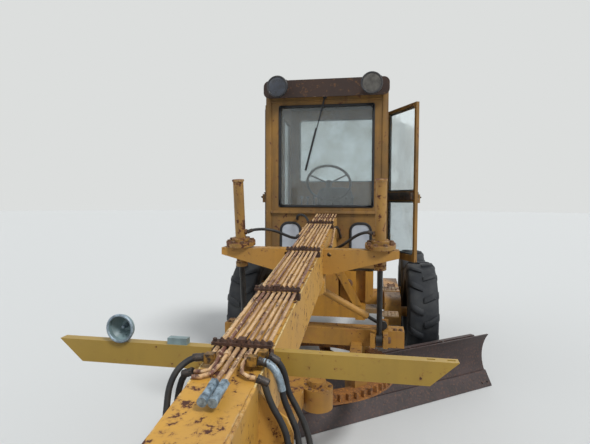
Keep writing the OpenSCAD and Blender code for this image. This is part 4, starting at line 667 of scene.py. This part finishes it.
for side, hand in ((1, "left"), (-1, "right")):
    bm = bmesh.new()
    leaf = door_place(side) @ wall_place(side * (CAB_HALF + 0.0206), 0, 0, (side, 0, 0))
    ends = sorted(side * y for y in DOOR_GLASS)
    for low, high in ((2.142, 3.034), (1.456, 2.032)):
        seal(bm, (ends[0], low), (ends[1], high), 0.028, leaf)
    finished(f"door_seals_{hand}", bm, seal_rubber, f"door_{hand}")


# Door bars: folded channels on both faces of each door, enamelled black over pressed steel, with
# the lever handle outside and the lock's case inside
DOOR_FACE = 0.0346
bar_black = worn_paint("black_door_bar_enamel", "#2a2624", "#3a3029", specks=0.55, stain=0.2,
                       streaks=0.2, rough=0.55, dirt="#1b1715")


def slab(bm, low, high, place=Matrix(), edge=0.002):
    """A bar or plate between two corners, with its edges broken."""
    low, high = Vector(low), Vector(high)
    made = bmesh.ops.create_cube(bm, size=1, matrix=place @ Matrix.Translation((low + high) / 2)
                                 @ Matrix.Diagonal((*(high - low), 1)))["verts"]
    bmesh.ops.bevel(bm, geom=list({line for spot in made for line in spot.link_edges}),
                    offset=edge, segments=2, profile=0.5, affect="EDGES", material=-1)


for side, hand in ((1, "left"), (-1, "right")):
    bm = bmesh.new()
    leaf = door_place(side)

    def door_slab(low, high, edge=0.002):
        """A bar on the door; X counts outwards from the door's outer face."""
        xs = sorted(side * (CAB_HALF + DOOR_FACE + v) for v in (low[0], high[0]))
        slab(bm, at(xs[0], *low[1:]), at(xs[1], *high[1:]), leaf, edge)

    # web and two flanges of the outer channel
    door_slab((-0.001, 3.932, 2.046), (0.010, 4.566, 2.128))
    door_slab((0.009, 3.945, 2.048), (0.020, 4.560, 2.060))
    door_slab((0.009, 3.945, 2.114), (0.020, 4.560, 2.126))
    # lever handle and its grip
    door_slab((0.034, 3.962, 2.060), (0.046, 3.976, 2.086))
    door_slab((0.042, 3.950, 2.066), (0.056, 4.086, 2.082), 0.005)
    # the same channel's inner half, with the lock's case
    door_slab((-0.050, 3.958, 2.046), (-0.033, 4.542, 2.128))
    door_slab((-0.066, 3.962, 2.050), (-0.049, 4.052, 2.124), 0.004)
    finished(f"door_bar_{hand}", bm, bar_black, f"door_{hand}")


# Cab trim: folded corner posts, the ledge below the windscreen and the gutter over it, spot
# welded to the front wall and painted with it
TRIM_HALF, TRIM_LOW, TRIM_HIGH = 0.584, 1.328, 3.226
bm = bmesh.new()
for side in (-1, 1):
    for inner, outer, back, edge in ((TRIM_HALF, 0.640, 0.002, 0.004),
                                     (0.632, 0.644, 0.060, 0.003)):
        xs = sorted((side * inner, side * outer))
        slab(bm, at(xs[0], CAB_Y - 0.010, TRIM_LOW), at(xs[1], CAB_Y + back, TRIM_HIGH), edge=edge)
for front, back, low, high, edge in ((-0.024, 0.002, 1.914, 1.926, 0.003),
                                     (-0.024, -0.019, 1.898, 1.918, 0.0015),
                                     (-0.016, 0.002, 3.078, 3.088, 0.002)):
    slab(bm, at(-TRIM_HALF, CAB_Y + front, low), at(TRIM_HALF, CAB_Y + back, high), edge=edge)
finished("cab_trim", bm, cab_paint)


# Wiper: a pressed steel arm and blade, black, on a spindle over the windscreen
bm = bmesh.new()
top, tip = at(-0.011, CAB_Y - 0.004, 3.120), at(-0.198, CAB_Y - 0.010, 2.382)
run = (tip - top).normalized()
arm = facing(top + Vector((0, -0.012, 0)), run)
turned(bm, [(0, 0.034), (0.010, 0.033), (0.014, 0.028), (0.014, 0.012), (0.019, 0.010),
            (0.019, -0.001), (0, -0.001)], facing(top + Vector((0, 0.003, 0)), (0, -1, 0)), 24)
reach = (tip - top).length
slab(bm, (-0.006, -0.008, 0), (0.006, 0.008, 0.16), arm)
slab(bm, (-0.005, -0.005, 0.15), (0.005, 0.005, reach - 0.19), arm)
slab(bm, (-0.008, -0.005, reach - 0.42), (0.008, 0.004, reach + 0.02), arm)
slab(bm, (-0.0025, -0.004, reach - 0.43), (0.0025, 0.016, reach + 0.03), arm, 0.001)
finished("wiper", bm, seal_rubber)


# Roof lamps: black enamelled bezels, held by three screws each, over pressed glass; the left
# lens has gone grey-brown and the right one dark blue
def lens_glass(name, tone, shade):
    """Pressed glass over a reflector: upright flutes 12 mm apart under a clear gloss."""
    made, tree, place, shader = finish_of(name)
    flutes = add(tree, "TexWave", {"Vector": place, "Scale": 26, "Distortion": 0.4},
                 bands_direction="X")
    cloud = part_of(tree, noise(tree, place, 22, 4), 0.35, 0.7)
    set_shader(tree, shader, Roughness=0.18, Coat_Weight=0.6, Coat_Roughness=0.08,
               Base_Color=blend_of(tree, cloud, linear(tone), linear(shade)),
               Normal=bump(tree, flutes.outputs[0], 0.4, 0.002))
    return made


rings = bmesh.new()
for side, hand, tone, shade in ((1, "left", "#56534d", "#332f2b"),
                                (-1, "right", "#2c3340", "#1c1f28")):
    lamp = facing(at(side * 0.475, CAB_Y - 0.230, 3.195), (0, -1, 0))
    turned(rings, [(0.090, 0.002), (0.094, 0.007), (0.102, 0.008), (0.108, 0.003),
                   (0.109, -0.010), (0.108, -0.024), (0.1055, -0.024), (0.1055, -0.005),
                   (0.096, -0.001)], lamp, 48)
    # three screws round the bezel
    for i in range(3):
        screw = (lamp @ Matrix.Rotation(0.6 + i * 2 * pi / 3, 4, "Z")
                 @ Matrix.Translation((0.111, 0, -0.014)) @ Matrix.Rotation(pi / 2, 4, "Y"))
        hexagon(rings, screw, 0.008, 0.005)
    bm = bmesh.new()
    turned(bm, [(0, 0.008), (0.030, 0.0075), (0.060, 0.006), (0.080, 0.004), (0.0935, 0.001),
                (0.0935, -0.004), (0, -0.0055)], lamp, 40)
    finished(f"lamp_lens_{hand}", bm, lens_glass(f"lamp_glass_{hand}", tone, shade))
finished("lamp_bezels", rings, lamp_black)


# Work lamp on the bar: its glass is gone, and a plated ring and bulb holder are left
bm = bmesh.new()
BEAM_TOP, BEAM_RISE = 1.308, 0.141
bar_top = BEAM_TOP + BEAM_RISE * 0.850 - 0.008
bucket = facing(at(-0.557, 0.836, bar_top + 0.062), (0, -1, 0))
turned(bm, [(0.052, -0.001), (0.055, 0.004), (0.060, 0.004), (0.0635, 0.000), (0.0635, -0.006),
            (0.0610, -0.006), (0.0610, -0.002), (0.054, -0.003)], bucket, 48)
turned(bm, [(0, -0.040), (0.009, -0.040), (0.010, -0.044), (0.010, -0.060), (0, -0.060)],
       bucket, 20)
turned(bm, [(0, -0.022), (0.005, -0.023), (0.008, -0.028), (0.008, -0.034), (0.005, -0.040),
            (0, -0.040)], bucket, 16)
finished("bar_lamp_ring", bm, zinc_steel)


# Bolts: hexagon heads with washers where the real machine is bolted together
def bolt(bm, place, across=0.030):
    """A hexagon bolt head on its washer."""
    turned(bm, [(0, 0.004), (across * 0.62, 0.004), (across * 0.66, 0.003),
                (across * 0.66, -0.002), (0, -0.002)], place, 20)
    hexagon(bm, place @ Matrix.Translation((0, 0, 0.0035)), across, across * 0.42)


LIFT_X, LIFT_Y, LIFT_Z, LIFT_LEAN = 0.569, 2.681, 1.652, radians(8.5)
bm = bmesh.new()
for side in (-1, 1):
    # eight round each lift barrel's flange
    line = (Matrix.Translation(at(side * LIFT_X, LIFT_Y, LIFT_Z))
            @ Matrix.Rotation(LIFT_LEAN, 4, "X"))
    for i in range(8):
        bolt(bm, line @ Matrix.Rotation((i + 0.5) * pi / 4, 4, "Z")
             @ Matrix.Translation((0.095, 0, 0.052)))
    # and its oil union
    port = (line @ Matrix.Translation((-side * 0.060, 0, 0.128))
            @ Matrix.Rotation(-side * pi / 2, 4, "Y") @ Matrix.Translation((0, 0, -0.016)))
    hexagon(bm, port, 0.041, 0.014)
# six round the plate on top of each tandem case, and the nut of the front axle's pin
for side in (-1, 1):
    xs = sorted((side * 0.700, side * 0.810))
    slab(bm, at(xs[0], 5.400, 0.824), at(xs[1], 5.740, 0.832))
    for x in (0.716, 0.794):
        for y in (5.418, 5.570, 5.722):
            bolt(bm, facing(at(side * x, y, 0.832), (0, 0, 1)), 0.018)
bolt(bm, facing(at(0, -0.176, 0.640), (0, -1, 0)), 0.075)
finished("frame_bolts", bm, nut_steel)
bm = bmesh.new()
for side in (-1, 1):
    # keepers of the lift pins, the guide shoes' bolts through the deck, and two bolts at each
    # end of the drawbar's cross beam
    bolt(bm, facing(at(side * 0.641, 2.7934, 0.900), (side, 0, 0)), 0.046)
    for y in (2.330, 2.410, 3.110, 3.190):
        bolt(bm, facing(at(side * 0.385, y, 0.850), (0, 0, 1)), 0.030)
    for x in (0.700, 0.745):
        bolt(bm, facing(at(side * x, 2.900, 0.955), (0, 0, 1)), 0.027)
# six on the drum of the circle's turning gear, round its cover
DRUM_X, DRUM_Y, DRUM_TOP, DRUM_RING = 0.170, 1.950, 0.829, 0.080
for i in range(6):
    spot = at(DRUM_X + DRUM_RING * cos(i * pi / 3), DRUM_Y + DRUM_RING * sin(i * pi / 3),
              DRUM_TOP)
    bolt(bm, facing(spot, (0, 0, 1)), 0.018)
finished("drawbar_bolts", bm, nut_steel, "drawbar")

# clamp screws between the oil pipes, six to each bar, with their studs standing out
PIPES_MIDDLE, PIPE_PITCH, CLAMP_HIGH = 0.016, 0.028, 0.0606
bm = bmesh.new()
for y in (0.760, 1.410, 2.280, 3.300):
    clamp = (Matrix.Translation(at(0, y, BEAM_TOP + BEAM_RISE * y))
             @ Matrix.Rotation(atan(BEAM_RISE), 4, "X"))
    for i in (-3, -2, -1, 1, 2, 3):
        place = clamp @ Matrix.Translation((PIPES_MIDDLE + i * PIPE_PITCH, 0.017, CLAMP_HIGH))
        bolt(bm, place, 0.017)
        turned(bm, [(0, 0.017), (0.0035, 0.017), (0.0045, 0.016), (0.0045, 0.008), (0, 0.008)],
               place, 12)
finished("clamp_screws", bm, clamp_steel)


# Plough bolts: flat heads sunk in the cutting edge, worn bright by the ground
bm = bmesh.new()
CIRCLE_Y, BLADE_TURN = 2.760, radians(38)
BLADE_MID, BLADE_HALF, BOLT_STEP, BOLT_Z = 0.847, 1.525, 0.152, 0.092
blade = Matrix.Translation(at(0, CIRCLE_Y, 0)) @ Matrix.Rotation(BLADE_TURN, 4, "Z")
# the way that the edge's face looks, and how far it stands back at the ground and per metre up
face, FACE_Y, FACE_BACK = Vector((0, -0.8535, 0.5211)), 0.0893, 0.6105
spots = int((2 * BLADE_HALF - 0.40) / BOLT_STEP) + 1
for i in range(spots):
    u = BLADE_MID + (i - (spots - 1) / 2) * BOLT_STEP
    place = facing(blade @ Vector((u, FACE_Y + FACE_BACK * (BOLT_Z - 0.004), BOLT_Z)),
                   blade.to_3x3() @ face)
    turned(bm, [(0, 0.0025), (0.012, 0.0025), (0.015, 0.0015), (0.0165, -0.001), (0, -0.002)],
           place, 20)
finished("plough_bolts", bm, blade_steel, "moldboard")


# Seat: foam cushion and back in black vinyl with sewn channels, on a rubber-bellowed pedestal.
# The pads are crowned, drawn in at their corners and flat only where they are carried.
SEAT_Y, FLOOR_Z, CHANNELS = 4.680, 1.326, (-0.5, 0, 0.5)
vinyl = plain("black_seat_vinyl", "#1f2126", "#3a3b3d", 0.6, grain=700)


def pad(name, size, place):
    """A padded cover of a size, with seams across it; its thickness is along its own Z."""
    bm = bmesh.new()
    bmesh.ops.create_cube(bm, size=1)
    bmesh.ops.subdivide_edges(bm, edges=bm.edges[:], cuts=23, use_grid_fill=True)
    for spot in bm.verts:
        x, y, z = (2 * c for c in spot.co)
        # corners drawn in, sides rounded over
        plan = (abs(x) ** 5 + abs(y) ** 5) ** 0.2
        shrink = max(abs(x), abs(y)) / plan if plan > 1e-6 else 1
        round_over = 1 - 0.075 * abs(z) ** 3
        x, y = x * shrink * round_over, y * shrink * round_over
        crown = 1 - 0.30 * abs(x) ** 4 - 0.30 * abs(y) ** 4
        # the sewn channels, and the welt where the cover's two sheets meet
        seam = sum(max(0, 1 - abs(x - c) / 0.05) for c in CHANNELS) * (abs(y) < 0.8)
        z *= crown * (1 - (0.16 if z > 0 else 0.0) * min(1, seam))
        welt = 0.012 * max(0, 1 - abs(z) / 0.10) * (max(abs(x), abs(y)) > 0.8)
        spot.co = (x * (1 + welt) * size[0] / 2, y * (1 + welt) * size[1] / 2, z * size[2] / 2)
    bmesh.ops.transform(bm, matrix=place, verts=bm.verts)
    finished(name, bm, vinyl, sharp=80)


pad("seat_cushion", (0.505, 0.485, 0.108),
    Matrix.Translation(at(0, SEAT_Y - 0.005, FLOOR_Z + 0.385)))
pad("seat_back", (0.455, 0.455, 0.090),
    Matrix.Translation(at(0, SEAT_Y + 0.273, FLOOR_Z + 0.655))
    @ Matrix.Rotation(radians(80), 4, "X"))
bm = bmesh.new()
# foot plate, top plate and seat pan, with the bellows between the plates
for half, front, back, low, high, edge in ((0.150, 0.130, 0.150, 0, 0.030, 0.006),
                                           (0.150, 0.130, 0.150, 0.268, 0.292, 0.004),
                                           (0.180, 0.160, 0.180, 0.292, 0.334, 0.008)):
    slab(bm, at(-half, SEAT_Y - front, FLOOR_Z + low), at(half, SEAT_Y + back, FLOOR_Z + high),
         edge=edge)
for i in range(7):
    grow = 0.012 if i % 2 else 0
    slab(bm, at(-0.120 - grow, SEAT_Y - 0.102 - grow, FLOOR_Z + 0.030 + i * 0.034),
         at(0.120 + grow, SEAT_Y + 0.122 + grow, FLOOR_Z + 0.066 + i * 0.034), edge=0.012)
pedestal = finished("seat_pedestal", bm, black_plastic)
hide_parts("seat")


# Hood fittings: lifting handles of bent rod and hinges of plate, welded and bolted on, two rear
# lamps of red acrylic screwed to the tail, and the pressed filler cap of the front tank
bm = bmesh.new()
HOOD_HALF, TAIL, HANDLE_Z = 0.430, 7.050, 1.86
for side in (-1, 1):
    for y in (5.75, 6.55):
        # a bent rod handle on two feet
        for end in (-0.07, 0.07):
            place = facing(at(side * (HOOD_HALF - 0.001), y + end, HANDLE_Z), (side, 0, 0))
            turned(bm, [(0, 0.040), (0.006, 0.040), (0.006, 0.004), (0.014, 0.003),
                        (0.014, -0.002), (0, -0.002)], place, 16)
        place = facing(at(side * (HOOD_HALF + 0.036), y - 0.076, HANDLE_Z), (0, 1, 0))
        turned(bm, [(0, 0), (0.006, 0), (0.006, 0.152), (0, 0.152)], place, 16)
    for y in (5.45, 6.15, 6.85):
        xs = sorted((side * (HOOD_HALF - 0.002), side * (HOOD_HALF + 0.006)))
        slab(bm, at(xs[0], y - 0.035, 1.130), at(xs[1], y + 0.035, 1.200))
        bolt(bm, facing(at(side * (HOOD_HALF + 0.004), y, 1.180), (side, 0, 0)), 0.016)
finished("hood_fittings", bm, frame_paint)
bm = bmesh.new()
lamp_red, tree, place, shader = finish_of("red_lamp_acrylic")
facets = add(tree, "TexVoronoi", {"Vector": place, "Scale": 160}).outputs["Distance"]
set_shader(tree, shader, Roughness=0.2, Coat_Weight=0.5,
           Base_Color=blend_of(tree, facets, linear("#6e1712"), linear("#a3281c")),
           Normal=bump(tree, facets, 0.3, 0.002))
for side in (-1, 1):
    turned(bm, [(0, 0.030), (0.030, 0.028), (0.044, 0.020), (0.048, 0.010), (0.048, -0.002),
                (0, -0.002)], facing(at(side * 0.340, TAIL - 0.030, 1.30), (0, 1, 0)))
finished("rear_lamps", bm, lamp_red)
bm = bmesh.new()
turned(bm, [(0, 0.030), (0.036, 0.029), (0.042, 0.024), (0.043, 0.010), (0.047, 0.008),
            (0.047, 0), (0.034, -0.002), (0, -0.002)],
       facing(at(0.250, CAB_Y + 0.008, 1.16), (0, -1, 0)))
finished("tank_cap", bm, nut_steel)


# Weld beads along the beam's two upper edges, laid by hand in short ripples and painted over
WELD_X, WELD_FROM, WELD_LONG, RIPPLES = 0.122, 0.56, 2.00, 150
bm = bmesh.new()
for side in (-1, 1):
    for i in range(RIPPLES):
        y = WELD_FROM + i * WELD_LONG / RIPPLES
        place = Matrix.Translation(at(side * WELD_X, y, BEAM_TOP + BEAM_RISE * y - 0.001))
        place @= Matrix.Diagonal((0.0055, 0.0085, 0.0045, 1))
        bmesh.ops.create_icosphere(bm, subdivisions=1, radius=1, matrix=place)
# enamel worn thin and pale on the beads, made paler still as a painted highlight along the beam's
# upper edges
weld_paint_and_highlight = worn_paint("pale_enamel_and_painted_highlight_on_welds", "#dcc68e", "#c39f58", specks=0.9, stain=0.3)
finished("beam_welds", bm, weld_paint_and_highlight, sharp=80)


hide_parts("hoses")
